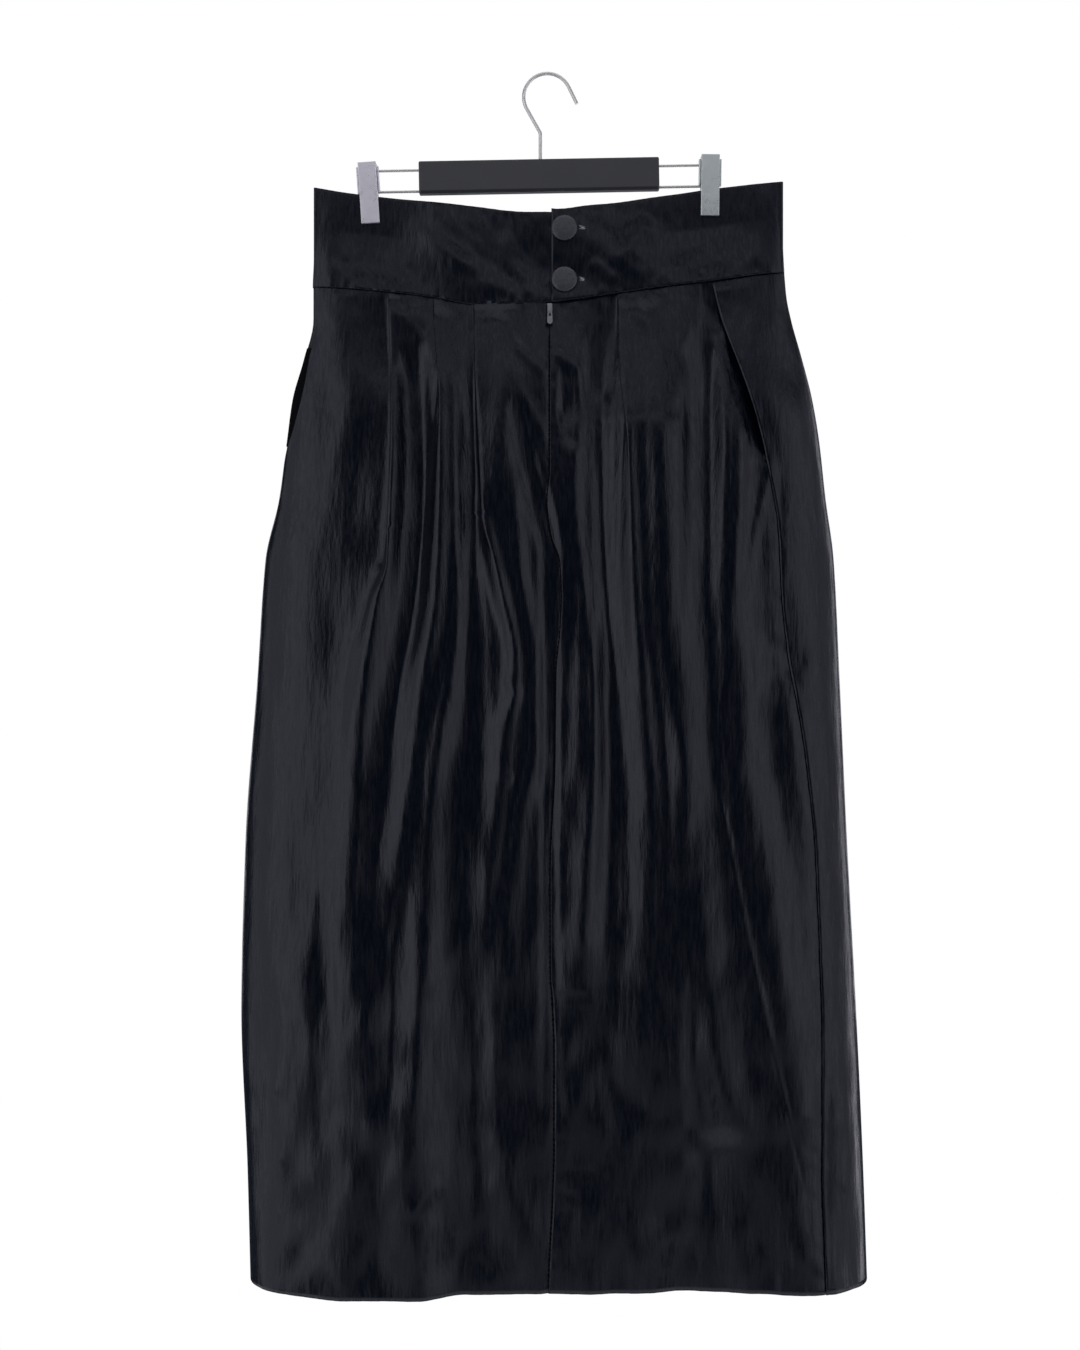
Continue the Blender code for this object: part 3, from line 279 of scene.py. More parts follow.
# Fine folds of the shown side, as rows of picture y and x, height in millimetres and half width in pixels
FOLD_COLUMNS = ("y", "x", "height", "width")
FINE_FOLDS = (
    ((395, 397, 1.2, 5), (450, 397, 2.2, 6), (545, 389, 2.0, 6), (601, 376, 2.4, 7), (718, 359, 2.2, 8),
     (850, 351, 1.8, 9), (975, 343, 0.8, 11)),
    ((318, 434, 1.4, 6), (380, 438, 2.4, 7), (450, 441, 2.8, 7), (520, 441, 2.8, 7), (595, 437, 2.6, 7),
     (684, 421, 2.4, 8), (792, 408, 2.2, 8), (917, 388, 1.2, 10)),
    ((345, 452, 1.0, 5), (420, 457, 1.8, 5), (480, 459, 2.2, 6), (585, 460, 2.4, 6), (684, 450, 2.2, 7),
     (767, 434, 2.2, 7), (850, 426, 1.8, 8), (975, 424, 1.2, 10)),
    ((505, 482, 1.6, 5), (568, 495, 2.4, 6), (660, 515, 2.6, 6), (690, 515, 2.6, 6), (726, 505, 2.4, 7),
     (830, 495, 2.0, 8), (933, 480, 1.4, 9)),
    ((495, 515, 1.4, 5), (568, 520, 2.4, 6), (660, 533, 2.8, 7), (747, 535, 2.6, 7), (809, 523, 2.4, 7),
     (892, 512, 1.8, 8), (975, 504, 1.0, 10)),
    ((600, 582, 1.0, 5), (680, 580, 2.0, 6), (747, 578, 2.0, 6), (809, 571, 1.0, 8)),
    ((610, 597, 1.0, 5), (690, 597, 2.2, 6), (759, 597, 2.2, 6), (830, 594, 1.8, 7), (933, 583, 1.0, 9)),
    ((345, 626, 1.2, 6), (440, 628, 2.0, 6), (581, 632, 2.6, 7), (726, 645, 2.4, 8), (830, 652, 2.0, 8),
     (954, 645, 1.0, 10)),
    ((320, 650, 1.2, 9), (400, 655, 2.4, 9), (600, 658, 2.8, 10), (697, 669, 2.6, 9), (776, 681, 2.2, 9),
     (860, 678, 1.2, 10)),
    ((360, 724, 1.6, 6), (420, 725, 2.4, 6), (560, 723, 2.6, 7), (726, 724, 2.4, 7), (792, 732, 1.8, 8),
     (933, 751, 1.0, 10)),
    ((400, 738, 0.8, 5), (450, 740, 1.6, 5), (560, 735, 1.4, 5), (620, 730, 0.6, 6)),
    ((310, 510, 1.4, 10), (360, 509, 2.6, 11), (430, 502, 2.4, 9), (500, 500, 1.4, 8)),
    ((300, 345, 0.8, 10), (380, 350, 1.8, 12), (480, 336, 1.6, 14), (560, 322, 0.8, 16)),
    ((560, 300, 0.8, 14), (720, 292, 1.6, 18), (900, 290, 1.6, 20), (1080, 286, 1.2, 20),
     (1240, 284, 0.6, 22)),
    ((950, 368, 1.2, 12), (1040, 370, 2.4, 14), (1120, 372, 1.6, 16)),
    ((980, 440, 1.2, 12), (1050, 440, 2.2, 13), (1110, 444, 1.4, 14)),
    ((1000, 679, 1.0, 8), (1060, 681, 2.0, 9), (1149, 686, 2.6, 10), (1215, 684, 2.0, 12),
     (1268, 640, 0.8, 16)),
    ((850, 704, 1.4, 10), (940, 706, 3.6, 11), (1060, 716, 3.6, 12), (1120, 730, 1.6, 14)),
    ((800, 664, 1.4, 40), (900, 672, 5.0, 44), (1030, 690, 6.0, 46), (1120, 704, 2.6, 46)),
    ((800, 766, 1.4, 11), (900, 776, 3.4, 12), (1010, 788, 3.4, 13), (1110, 800, 1.8, 14)),
    ((1110, 600, 0.8, 12), (1190, 596, 1.6, 14), (1280, 590, 1.0, 14)),
    ((1130, 370, 0.8, 14), (1200, 352, 1.6, 16), (1280, 345, 1.0, 18)),
    ((1150, 760, -0.8, 18), (1220, 764, -1.8, 22), (1290, 770, -1.2, 22)),
    ((1100, 828, -0.6, 3), (1160, 828, -1.0, 3), (1290, 828, -1.0, 3)),
)
# Flat-bottomed valleys between the folds, in the same columns
VALLEYS = (
    ((342, 413, -0.8, 12), (362, 413, -3.4, 14), (400, 414, -6.4, 15), (440, 414, -8.2, 16),
     (500, 413, -7.6, 16), (600, 408, -5.0, 16), (700, 388, -1.8, 14), (770, 376, -0.6, 14)),
    ((382, 466, -1.0, 8), (400, 467, -2.4, 9), (440, 468, -4.2, 10), (500, 469, -4.4, 11),
     (560, 470, -3.6, 11), (650, 474, -2.4, 14), (740, 470, -1.2, 16)),
    ((410, 516, -1.0, 8), (460, 527, -2.4, 11), (510, 541, -3.0, 12), (560, 550, -2.6, 10),
     (700, 550, -2.4, 9), (850, 549, -2.2, 9), (1000, 550, -1.8, 10), (1110, 551, -0.8, 12)),
    ((320, 602, -1.0, 10), (350, 596, -3.4, 13), (400, 594, -6.0, 14), (480, 594, -6.2, 15),
     (600, 600, -3.8, 13), (700, 612, -2.6, 14), (800, 618, -2.6, 17), (900, 618, -2.2, 18),
     (980, 608, -1.0, 16)),
    ((338, 700, -1.0, 14), (360, 700, -3.6, 16), (400, 701, -6.2, 17), (440, 701, -7.6, 18),
     (520, 700, -5.4, 17), (610, 696, -1.6, 15)),
    ((378, 568, -2.0, 9), (405, 569, -3.4, 10), (430, 570, -1.2, 9)),
    ((640, 772, -0.8, 14), (668, 776, -2.0, 22), (722, 765, -0.8, 15)),
    ((900, 326, -0.8, 9), (1000, 324, -2.2, 12), (1110, 326, -1.0, 13)),
    ((900, 401, -0.8, 10), (1000, 400, -2.2, 13), (1100, 400, -1.0, 14)),
    ((1000, 480, -0.8, 9), (1060, 479, -1.8, 11), (1110, 482, -0.6, 12)),
)
# Cloth that dips towards the pleats' folded edges from their left, in the same columns
FOLD_SHADES = (
    ((302, 386, -0.8, 7), (380, 389, -1.4, 9), (440, 390, -2.0, 11), (560, 384, -1.2, 10)),
    ((298, 431, -0.8, 6), (330, 432, -0.6, 7)),
    ((304, 472, -1.0, 7), (400, 474, -1.6, 8), (480, 478, -1.8, 9), (530, 481, -0.8, 9)),
    ((298, 616, -1.4, 12), (340, 616, -2.2, 16), (390, 613, -1.2, 16)),
)
FINE_FADE = 34.0
FOLD_GAIN = 1.15
FOLD_WIDEN = 1.35
SHADE_FADE = 12.0
SHADE_RIGHT = 1.6
VALLEY_POWER = 4
VALLEY_FADE = 20.0

# Creases of the shown side: picture places of both ends, height in millimetres and half width in pixels
CREASES = (
    (719, 792, 748, 941, -0.9, 2.6),
    (748, 941, 802, 1174, -0.9, 2.8),
    (437, 1182, 408, 1215, 1.0, 7),
    (505, 680, 520, 696, 1.2, 5),
    (498, 772, 512, 780, 1.0, 5),
    (545, 996, 588, 996, -0.7, 2.2),
    (548, 1171, 590, 1172, -0.8, 2.2),
    (556, 1191, 580, 1199, -0.5, 2.2),
    (556, 1212, 576, 1213, -0.4, 2.0),
    (762, 640, 806, 660, -1.2, 8),
    (762, 686, 806, 662, -1.0, 8),
    (836, 1030, 858, 1048, 0.9, 4),
    (840, 1180, 864, 1198, 0.9, 4),
    (834, 960, 852, 972, 0.6, 4),
    (834, 1100, 858, 1114, 0.6, 4),
    (832, 880, 850, 890, 0.5, 4),
    (836, 1236, 860, 1250, 0.6, 4),
    (830, 800, 846, 808, 0.5, 4),
    (250, 1010, 274, 1006, 0.6, 3),
    (252, 1092, 282, 1086, 0.6, 3),
    (254, 1130, 276, 1132, 0.7, 3),
    (256, 1164, 284, 1158, 0.6, 3),
    (258, 1210, 280, 1214, 0.6, 3),
    (516, 346, 545, 372, 0.9, 5),
    (520, 392, 545, 436, 0.9, 6),
    (556, 352, 578, 372, 0.9, 5),
    (560, 404, 574, 446, -1.0, 6),
    (772, 462, 760, 512, 1.2, 4),
    (760, 512, 744, 596, 0.9, 5),
    (780, 484, 781, 574, -0.8, 3.4),
    (400, 312, 420, 340, 0.7, 5),
    (492, 312, 520, 350, 0.6, 6),
    (640, 312, 668, 360, 0.7, 7),
    (690, 330, 700, 410, 0.6, 6),
)
CREASE_END = 0.3

# Unevenness: periods across and down, slant, height near the waist and height near the hem
CRUMPLE = (
    (70, 210, 0.04, 1.0, 2.6),
    (42, 72, 0.15, 1.4, 0.6),
    (36, 80, 0.12, 0.6, 2.2),
    (21, 44, -0.3, 0.22, 0.8),
    (11, 30, 0.1, 0.09, 0.13),
)
CRUMPLE_TOP_Z = -600
CRUMPLE_EASE = 280
FRONT_CRUMPLE = 1.5
NOISE_CELLS = 97
NOISE_GAIN = 1.6
BACK_SEED = 11
FRONT_SEED = 41
# Parts of an uneven wave: share, pace and start
UNEVEN_WAVES = ((0.5, 1.0, 1.0), (0.3, 1.618, 2.3), (0.2, 2.71, 4.1))
# Gathers under the waistband: height, periods across and down, reach and seed
GATHERS = (0.6, 7.0, 15.0, 11.0, 81)
# Puckers along the seams: height, period, reach and start
PUCKER_WAVES = {
    "seam": (0.35, 23.0, 26.0, 2.1),
    "centre": (0.3, 17.0, 7.0, 0.7),
    "side": (0.34, 21.0, 12.0, 3.7),
    "hem": (0.25, 14.0, 14.0, 5.1),
}
PUCKER_SLANT = 0.5
PUCKER_START = 4.0

# Waistband
BAND_LEFT_X = -209.5
BAND_RIGHT_X = 211.5
BAND_FOLD = 1.3
BAND_END_GAP = 0.5
BAND_SEAM_DEPTH = 9.6
BAND_TOP_DEPTH = 5.0
BAND_SQUARE = 2.5
BAND_HEIGHT = 85.0
BAND_CORNER_RISE = 2.6
BAND_CORNER_REACH = 14.0
BAND_EDGE_SHADE = -0.8
BAND_EDGE_REACH = 2.5
# Drag lines of the waistband: places across and heights of both ends, height and half width, in millimetres
BAND_DRAGS = (
    (-130, -136, -66, -176, 1.7, 9),
    (-196, -120, -180, -168, 1.0, 7),
    (-150, -158, -128, -186, 0.8, 6),
    (62, -172, 92, -134, 1.7, 10),
    (40, -170, 60, -186, 0.8, 6),
    (150, -150, 176, -120, 1.2, 9),
    (-40, -146, -20, -188, 0.8, 7),
    (112, -176, 140, -160, 1.0, 8),
)
# Puckers at the waistband's seam and top: height, periods across and up, reach as a share of its height, seed
BAND_PUCKERS = {"seam": (0.9, 5.5, 16.0, 0.1, 71), "top": (0.5, 5.0, 14.0, 0.09, 72)}
# Unevenness of the waistband: height, periods across and up, slants across and up, share of its height over
# which it starts, seed
BAND_NOISES = (
    (2.1, 72.0, 96.0, 1.1, -0.5, 0.25, 73),
    (0.4, 34.0, 52.0, -0.9, 0.6, 0.0, 74),
    (0.2, 11.0, 26.0, 0.8, -0.5, 0.0, 75),
)
BAND_END_STILL = 3.0
BAND_END_EASE = 14.0
BAND_ROWS = 42
BAND_FOLD_TURNS = 7
BAND_INNER_STEP = 3
BAND_SPACING = 1.9
BAND_END_SHARES = (1.0, 0.85, 0.7, 0.5, 0.3, 0.15)
BAND_PINCH = 1.15
PINCH_REACH = 60.0
PINCH_SHARE = 0.6
GRIP_HALF = 12.0
GRIP_X = (-159.1, 146.0)
BAND_END_X = 3.6
BAND_END_LAP = 34.0
BAND_END_LEVEL_OUT = 30.0
BAND_HALF_THICK = 0.55
BAND_FOOT_THICK = 1.5
BAND_FOOT_RISE = 0.3
# The skirt's top under the waistband
TUCK = 4.0
PRESSED = 0.3
PRESSED_DOWN = 20.0
TUCKED_DOWN = 16.0
TUCKED_HEIGHT = 0.5
FREE_HEIGHT = 16.0

# Buttons and buttonholes
BUTTON_X = 15.2
BUTTON_Z = {"button_upper": -140.0, "button_lower": -186.3}
BUTTON_RADIUS = 11.5
BUTTONHOLE_END_X = 33.4
BUTTON_RIM = 1.6
BUTTON_DOME = 3.6
BUTTON_SEAT = 0.45
BUTTON_EDGE = 0.6
BUTTON_POLE = 0.001
# Lower edge of a button: steps in and up, as shares of its rounding
BUTTON_SIDE = ((0.0, 1.6), (0.3, 0.5), (1.0, 0.0))
BUTTON_RIM_FROM = 0.8
BUTTON_RIM_OVER = 0.2
BUTTON_TURNS = 72
BUTTON_DOME_STEPS = 14
BUTTON_PUCKER = 0.13
BUTTON_PUCKER_COUNT = 19
BUTTON_PUCKER_START = 7
SHANK_RADIUS = 2.0
SHANK_LENGTH = 2.4
OVER_END_THICK = 0.75
HOLE_STITCH = 0.2
HOLE_STITCH_LENGTH = 1.5
HOLE_STITCH_STEP = 0.5
HOLE_SLIT = 0.35
HOLE_HIDDEN = 3.0
HOLE_SLANT = 0.1
HOLE_FAN = 9
# Loose threads: both ends, across and up from the buttonhole's end
HOLE_LOOSE = ((0.2, 0.9, -5.2, 2.6), (-0.4, 0.3, -4.6, 1.4), (0.6, -0.5, -3.9, 0.9), (-0.2, -1.0, -4.9, -0.3))
LOOSE_LIFT = (0.2, 0.35)
LOOSE_THIN = 0.8
STITCH_SIDES = 6
# Along a stitch: share of its length and of its thickness
STITCH_SWELL = ((0.0, 0.4), (0.18, 1.0), (0.82, 1.0), (1.0, 0.4))
# Bar tack, in picture places; facing of the left pocket, matte and near black as painted shade in the
# pocket's mouth; and stitches of the centre seam, matte and near black as a painted shade line
TACK_PLACE = (763.5, 454.5, 775.5, 460.5)
TACK_STITCHES = 11
TACK_LEVEL = 2.2
TACK_UNEVEN = 0.6
TACK_SLANT = 0.5
PLACE_START_Y = -40.0
PLACE_ROUNDS = 4
FACING_TOP = -246.0
FACING_FOOT = -334.0
FACING_ROWS = 60
FACING_COLUMNS = 12
FACING_TUCK = 3.0
FACING_TURN = 183.0
FACING_LEVEL = 0.6
FACING_SHELL = 0.3
SEAM_LINE_TOP = -236.0
SEAM_LINE_ASIDE = 0.35
SEAM_LINE_LEVEL = -0.15
SEAM_STITCH = 4.0
SEAM_STITCH_PITCH = 1.12
SEAM_SHADE_THREAD = 0.55
# Hanger
# Near-black strip under the bar: a painted shadow line along its lower edge
TRIM_HEIGHT = 2.3
TRIM_DEPTH = 0.3
TRIM_INSET = 1.5
TRIM_RISE = 0.4
TRIM_EDGE = 0.2
BOX_FACES = ((0, 1, 3, 2), (4, 6, 7, 5), (0, 4, 5, 1), (2, 3, 7, 6), (0, 2, 6, 4), (1, 5, 7, 3))
WIRE_ROUND = 6
HOOK_WIRE = 1.55
HOOK_RADIUS = 21.3
HOOK_LEG_ANGLE = 209.4
HOOK_MOUTH_ANGLE = 26.0
HOOK_LEG = 25.0
HOOK_FLARE = 17.0
HOOK_BEND = 6.0
HOOK_STEM_IN_BAR = 14.0
HOOK_CROWN_POINTS = 40
HOOK_BEND_POINTS = 8
BAR_CENTRE = (-7.5, -91.0)
BAR_SIZE = (216.0, 9.0, 29.3)
HANGER_TILT = math.radians(1.04)
RAIL_RADIUS = 1.15
RAIL_SPACING = 19.0
RAIL_RISE = -2.2
RAIL_IN_BAR = 18.0
RAIL_BEND = 3.0
RAIL_BEND_STEPS = 6
RAIL_IN_CLIP = 5.2
CLIPS = {
    "left": {"top": (-162.2, -79.2), "out": -1},
    "right": {"top": (146.6, -72.3), "out": 1},
}

# Finishes; a noise is given by its scale, detail and roughness, a bump by its strength and height in metres
NOISE_LOW = 0.3
NOISE_HIGH = 0.7
MIX_FIRST, MIX_SECOND, MIX_RESULT = 6, 7, 2
PANEL_GRAIN = (1.0, 1.0, 0.15)
BAND_GRAIN = (1.0, 1.0, 0.2)
BUTTON_GRAIN = (1.0, 1.0, 1.0)
SATIN_ROUGHNESS = 0.28
SATIN_POLISH = (0.18, 0.36)
SATIN_SHADES = ((0.0012, 0.0022, 0.006), (0.0022, 0.0034, 0.008))
BUTTON_SHADES = ((0.045, 0.047, 0.053), (0.075, 0.077, 0.085))
SATIN_FINISH = {
    "Specular IOR Level": 0.4,
    "Specular Tint": (0.88, 0.9, 1.0, 1.0),
    "Sheen Weight": 0.006,
    "Sheen Roughness": 0.4,
    "Sheen Tint": (0.7, 0.8, 1.0, 1.0),
}
SATIN_NOISES = {"patches": (120, 3.0, 0.55), "slubs": (430, 3.0, 0.55), "yarns": (1100, 2.0, 0.5)}
SATIN_BUMPS = {"patches": (1.0, 0.0007), "slubs": (1.0, 0.00013), "yarns": (1.0, 0.00003)}
METAL_SCRATCHES = ((900, 900, 90), 4.0, 0.7)
METAL_CLOUDS = ((120, 120, 120), 4.0, 0.6)
METAL_POLISH = (0.7, 1.5)
METAL_SHADE = 0.88
METAL_DEPTH = 0.00005
# Metals: colour, roughness, strength of their scratches and share of metal
METALS = {
    "nickel_wire": ((0.88, 0.87, 0.84), 0.3, 0.2, 0.6),
    "steel_rail": ((0.8, 0.79, 0.76), 0.25, 0.3, 0.75),
    # The two clips are copies of one metal, painted lit and shaded: the left lighter and lilac, the right
    # darker and greener.
    "clip_metal_left": ((0.95, 0.93, 0.98), 0.3, 0.25, 0.5),
    "clip_metal_right": ((0.74, 0.8, 0.78), 0.32, 0.6, 0.6),
    "zip_metal": ((0.3, 0.3, 0.31), 0.3, 0.2, 1.0),
}
PLASTIC_GRAIN = ((2600, 2600, 2600), 2.0, 0.5)
PLASTIC_RUBBED = ((30, 60, 110), 4.0, 0.6)
PLASTIC_POLISH = (-0.08, 0.1)
PLASTIC_LIGHTER = 1.25
PLASTIC_BUMP = (0.25, 0.00006)
# Plastics: colour and roughness
# The second plastic is painted shadow: a near-black strip for the shadow line under the bar.
PLASTICS = {"soft_touch_bar": ((0.048, 0.049, 0.053), 0.55), "bar_shadow_strip": ((0.006, 0.007, 0.012), 0.5)}
# Kinds of yarn: roughness, noise, how much lighter its lighter places are, bump and specular level
THREAD = (0.5, ((3000, 3000, 3000), 2.0, 0.5), 1.5, (0.6, 0.0001), 0.5)
MATT_CLOTH = (0.9, ((1400, 1400, 1400), 2.0, 0.5), 1.6, (0.4, 0.0001), 0.1)
# Yarns: colour and kind
YARNS = {
    "thread_black": ((0.012, 0.012, 0.015), THREAD),
    "thread_pale": ((0.5, 0.5, 0.52), THREAD),
    # The facing cloth below is matte and near black: painted shade in the left pocket's mouth.
    "facing_shade_cloth": ((0.0012, 0.0014, 0.0022), MATT_CLOTH),
    # The seam thread below is matte and near black: a painted shade line along the centre seam and the vent.
    "seam_shade_thread": ((0.0006, 0.0007, 0.0012), MATT_CLOTH),
}

# Lights: azimuth in degrees to the right of the camera's side, distance, height, size in metres and radiance
LIGHTS = (
    ("panel_left", -44, 2.15, -0.3, (1.15, 2.5), 0.8),
    ("haze_left", -41, 2.3, -0.35, (1.6, 2.9), 0.26),
    ("side_left", -78, 1.9, -0.85, (1.5, 2.9), 0.68),
    ("panel_right", 48, 2.15, -0.3, (1.0, 2.5), 0.55),
    ("haze_right", 44, 2.3, -0.35, (1.6, 2.9), 0.24),
    ("side_right", 80, 1.9, -0.85, (1.6, 2.9), 0.52),
    ("patch_right", 22, 2.2, -1.2, (0.55, 0.62), 0.36),
    ("patch_left", -19, 2.2, -1.42, (0.5, 0.62), 0.32),
    ("rim_right", 110, 1.8, -0.7, (0.5, 2.2), 2.0),
    ("key_top", 0, 0.6, 0.17, (0.8, 0.1), 0.78),
    ("key_soft", 0, 0.6, 0.12, (1.0, 0.24), 0.11),
    ("low_front", 0, 2.1, -2.1, (3.0, 1.0), 0.3),
    ("overhead", 0, 0.3, 1.1, (2.2, 1.6), 0.8),
    ("back_wall", 180, 2.2, -0.1, (3.6, 2.4), 1.0),
)
LIGHT_COLOUR = (0.95, 0.935, 1.0)
# How far above or below its own height a light's target is
TARGET_RISE = {"key_top": -0.34, "key_soft": -0.34, "low_front": 1.0, "overhead": -1.1}
WHITE = (1.0, 1.0, 1.0, 1.0)
FILL_COLOUR = (0.6, 0.78, 1.0, 1.0)
FILL_STRENGTH = 0.05
FLOOR_SIDES = 96
FLOOR_RADIUS = 0.74
FLOOR_Z = -1.45
FLOOR_COLOUR = (0.9, 0.9, 0.9)
FLOOR_ROUGHNESS = 0.7
FLOOR_GLOW = 0.35


def smooth_curve(rows, columns, wanted):
    """Function that follows a table's wanted column smoothly and never overshoots its rows."""
    ordered = np.array(sorted(rows), float)
    stops = ordered[:, 0]
    values = ordered[:, columns.index(wanted)]
    steps = np.diff(stops)
    slopes = np.diff(values) / steps
    tangents = np.concatenate([slopes[:1], np.zeros(len(slopes) - 1), slopes[-1:]])
    before, after = slopes[:-1], slopes[1:]
    same_way = before * after > 0
    tangents[1:-1][same_way] = (2 * before * after)[same_way] / (before + after)[same_way]

    def value(at):
        at = np.clip(at, stops[0], stops[-1])
        i = np.clip(np.searchsorted(stops, at, side="right") - 1, 0, len(steps) - 1)
        share = (at - stops[i]) / steps[i]
        start = values[i] + share * steps[i] * tangents[i] * (1 - share) ** 2
        end = steps[i] * tangents[i + 1] * share**2 * (share - 1)
        rise = (values[i + 1] - values[i]) * share**2 * (3 - 2 * share)
        return start + end + rise

    return value


def table_curves(rows, columns):
    """Every column of a table but the first, as smooth curves by name."""
    return {name: smooth_curve(rows, columns, name) for name in columns[1:]}


def ease(share):
    """Soft step from 0 to 1."""
    share = np.clip(share, 0.0, 1.0)
    return share * share * (3 - 2 * share)


def mix(start, end, share):
    """Value a share of the way from start to end."""
    return start + (end - start) * share


TUBE_CURVES = table_curves(TUBE, TUBE_COLUMNS)
HOLLOW_CURVE = smooth_curve(HOLLOW, HOLLOW_COLUMNS, "share")
EDGE_CURVES = table_curves(EDGES, EDGE_COLUMNS)
CENTRE_CURVES = table_curves(CENTRE_SEAM, CENTRE_COLUMNS)
SIDE_CURVES = table_curves(RIGHT_SEAM, SIDE_COLUMNS)
MOUTH_CURVE = smooth_curve(LEFT_MOUTH, MOUTH_COLUMNS, "gape")
RIGHT_MOUTH_CURVE = smooth_curve(RIGHT_MOUTH, MOUTH_COLUMNS, "gape")


def tube_middle(z):
    """Middle of the tube's width and half of that width."""
    left = TUBE_CURVES["left"](z)
    right = TUBE_CURVES["right"](z)
    return (left + right) / 2, (right - left) / 2


def tube_angle(side, x, z):
    """Angle round the tube: 0 at the right edge, 90 degrees mid back, 180 at the left edge."""
    middle, half = tube_middle(z)
    angle = np.arccos(np.clip((x - middle) / half, -1.0, 1.0))
    return angle if side == "back" else math.tau - angle


def tube_depth(side, across, z):
    """How far the tube's wall stands from its middle plane."""
    square = TUBE_CURVES["square"](z)
    round_off = np.maximum(1 - np.abs(across) ** square, 0.0) ** (1 / square)
    share = HOLLOW_CURVE(across if side == "back" else -across)
    hollow = mix(1.0, share, ease((HOLLOW_TOP_Z - z) / HOLLOW_EASE))
    return TUBE_CURVES[side](z) * round_off * hollow


def bare_point(angle, z):
    """Points of the tube's plain form, as X and Y."""
    middle, half = tube_middle(z)
    across = np.cos(angle)
    y = np.where(np.sin(angle) >= 0, -tube_depth("back", across, z), tube_depth("front", across, z))
    return middle + half * across, y


def outward(angle, z):
    """Unit normals of the tube's plain form, as X and Y."""
    x_after, y_after = bare_point(angle + NORMAL_STEP, z)
    x_before, y_before = bare_point(angle - NORMAL_STEP, z)
    along_x, along_y = x_after - x_before, y_after - y_before
    size = np.maximum(np.hypot(along_x, along_y), SHORTEST)
    normal_x, normal_y = -along_y / size, along_x / size
    flip = np.where(normal_x * np.cos(angle) - normal_y * np.sin(angle) < 0, -1.0, 1.0)
    return normal_x * flip, normal_y * flip


def ridges(rows_list, x, z):
    """Height of the main folds."""
    total = np.zeros_like(x)
    for rows in rows_list:
        curves = table_curves(rows, RIDGE_COLUMNS)
        low, high = min(rows)[0], max(rows)[0]
        fade = ease((high + RIDGE_FADE - z) / RIDGE_FADE) * ease((z - low + RIDGE_FADE) / RIDGE_FADE)
        away = (x - curves["x"](z)) / curves["width"](z)
        total += fade * curves["height"](z) * np.exp(-away * away)
    return total


def in_picture(x, y, z):
    """Picture place of points of the skirt."""
    away = CAMERA_AWAY + y
    scale = PICTURE[1] / FRAME_HEIGHT * CAMERA_AWAY / away
    return PICTURE[0] / 2 + (x - CAMERA_X) * scale, PICTURE[1] / 2 - (z - CAMERA_Z) * scale


def fine_folds(folds, px, py, fade_length, widen=1.0, power=2, right_width=None):
    """Height of fine folds of the shown side at picture places.

    A higher power flattens their middles; right_width is the half width of their right flanks.
    """
    total = np.zeros_like(px)
    for rows in folds:
        curves = table_curves(rows, FOLD_COLUMNS)
        low, high = min(rows)[0], max(rows)[0]
        fade = ease((high + fade_length - py) / fade_length) * ease((py - low + fade_length) / fade_length)
        aside = px - curves["x"](py)
        width = widen * curves["width"](py)
        if right_width is not None:
            width = np.where(aside > 0, right_width, width)
        total += fade * curves["height"](py) * np.exp(-((np.abs(aside) / width) ** power))
    return total


def creases(rows, px, py):
    """Height of short straight creases at places, each from one end to the other."""
    total = np.zeros_like(px)
    for x0, y0, x1, y1, height, width in rows:
        length = math.hypot(x1 - x0, y1 - y0)
        along = ((px - x0) * (x1 - x0) + (py - y0) * (y1 - y0)) / length**2
        aside = ((px - x0) * (y1 - y0) - (py - y0) * (x1 - x0)) / length / width
        ends = ease(along / CREASE_END + 0.5) * ease((1 - along) / CREASE_END + 0.5)
        total += height * ends * np.exp(-aside * aside)
    return total


def uneven(at, seed):
    """Uneven wave between about -1 and 1 along one direction, one turn about every unit."""
    return sum(share * np.sin(math.tau * pace * at + start * seed) for share, pace, start in UNEVEN_WAVES)


def pucker_wave(name, along, away):
    """Wave of puckers along a seam, lower and lower away from it."""
    height, period, reach, start = PUCKER_WAVES[name]
    return height * uneven(along / period, start) * np.exp(-away / reach)


def puckers(x, z, side):
    """Small puckers that sewing draws into the cloth along its seams."""
    below = EDGE_CURVES["seam"](x) - z
    height, across, down, reach, seed = GATHERS
    total = height * cloth_noise(x / across, below / down, seed) * np.exp(-below / reach)
    total += pucker_wave("seam", x, below)
    total *= ease(below / PUCKER_START)
    if side == "back":
        total += pucker_wave("centre", z, np.abs(x - CENTRE_CURVES["x"](z)))
        total += pucker_wave("side", z + PUCKER_SLANT * x, np.abs(x - SIDE_CURVES["x"](z)))
        total += pucker_wave("hem", x, z - HEM_Z)
    return total


def cloth_noise(u, v, seed):
    """Smooth noise between about -1 and 1, one bump about every unit both ways."""
    turns = np.random.default_rng(seed).uniform(0.0, math.tau, (NOISE_CELLS, NOISE_CELLS))
    column, row = np.floor(u).astype(int), np.floor(v).astype(int)
    along, down = u - column, v - row

    def pull(right, below):
        turn = turns[(column + right) % NOISE_CELLS, (row + below) % NOISE_CELLS]
        return np.cos(turn) * (along - right) + np.sin(turn) * (down - below)

    across_share = along**3 * (along * (6 * along - 15) + 10)
    down_share = down**3 * (down * (6 * down - 15) + 10)
    upper = mix(pull(0, 0), pull(1, 0), across_share)
    lower = mix(pull(0, 1), pull(1, 1), across_share)
    return NOISE_GAIN * mix(upper, lower, down_share)


def crumple(x, z, seed):
    """Unevenness of crisp cloth: long soft waves, short patches that grow towards the hem, faint ripples."""
    low = ease((CRUMPLE_TOP_Z - z) / CRUMPLE_EASE)
    total = np.zeros_like(x)
    for number, (period_x, period_z, slant, upper, lower) in enumerate(CRUMPLE):
        noise = cloth_noise((x + slant * z) / period_x, (z - slant * x) / period_z, seed + number)
        total += mix(upper, lower, low) * noise
    return total


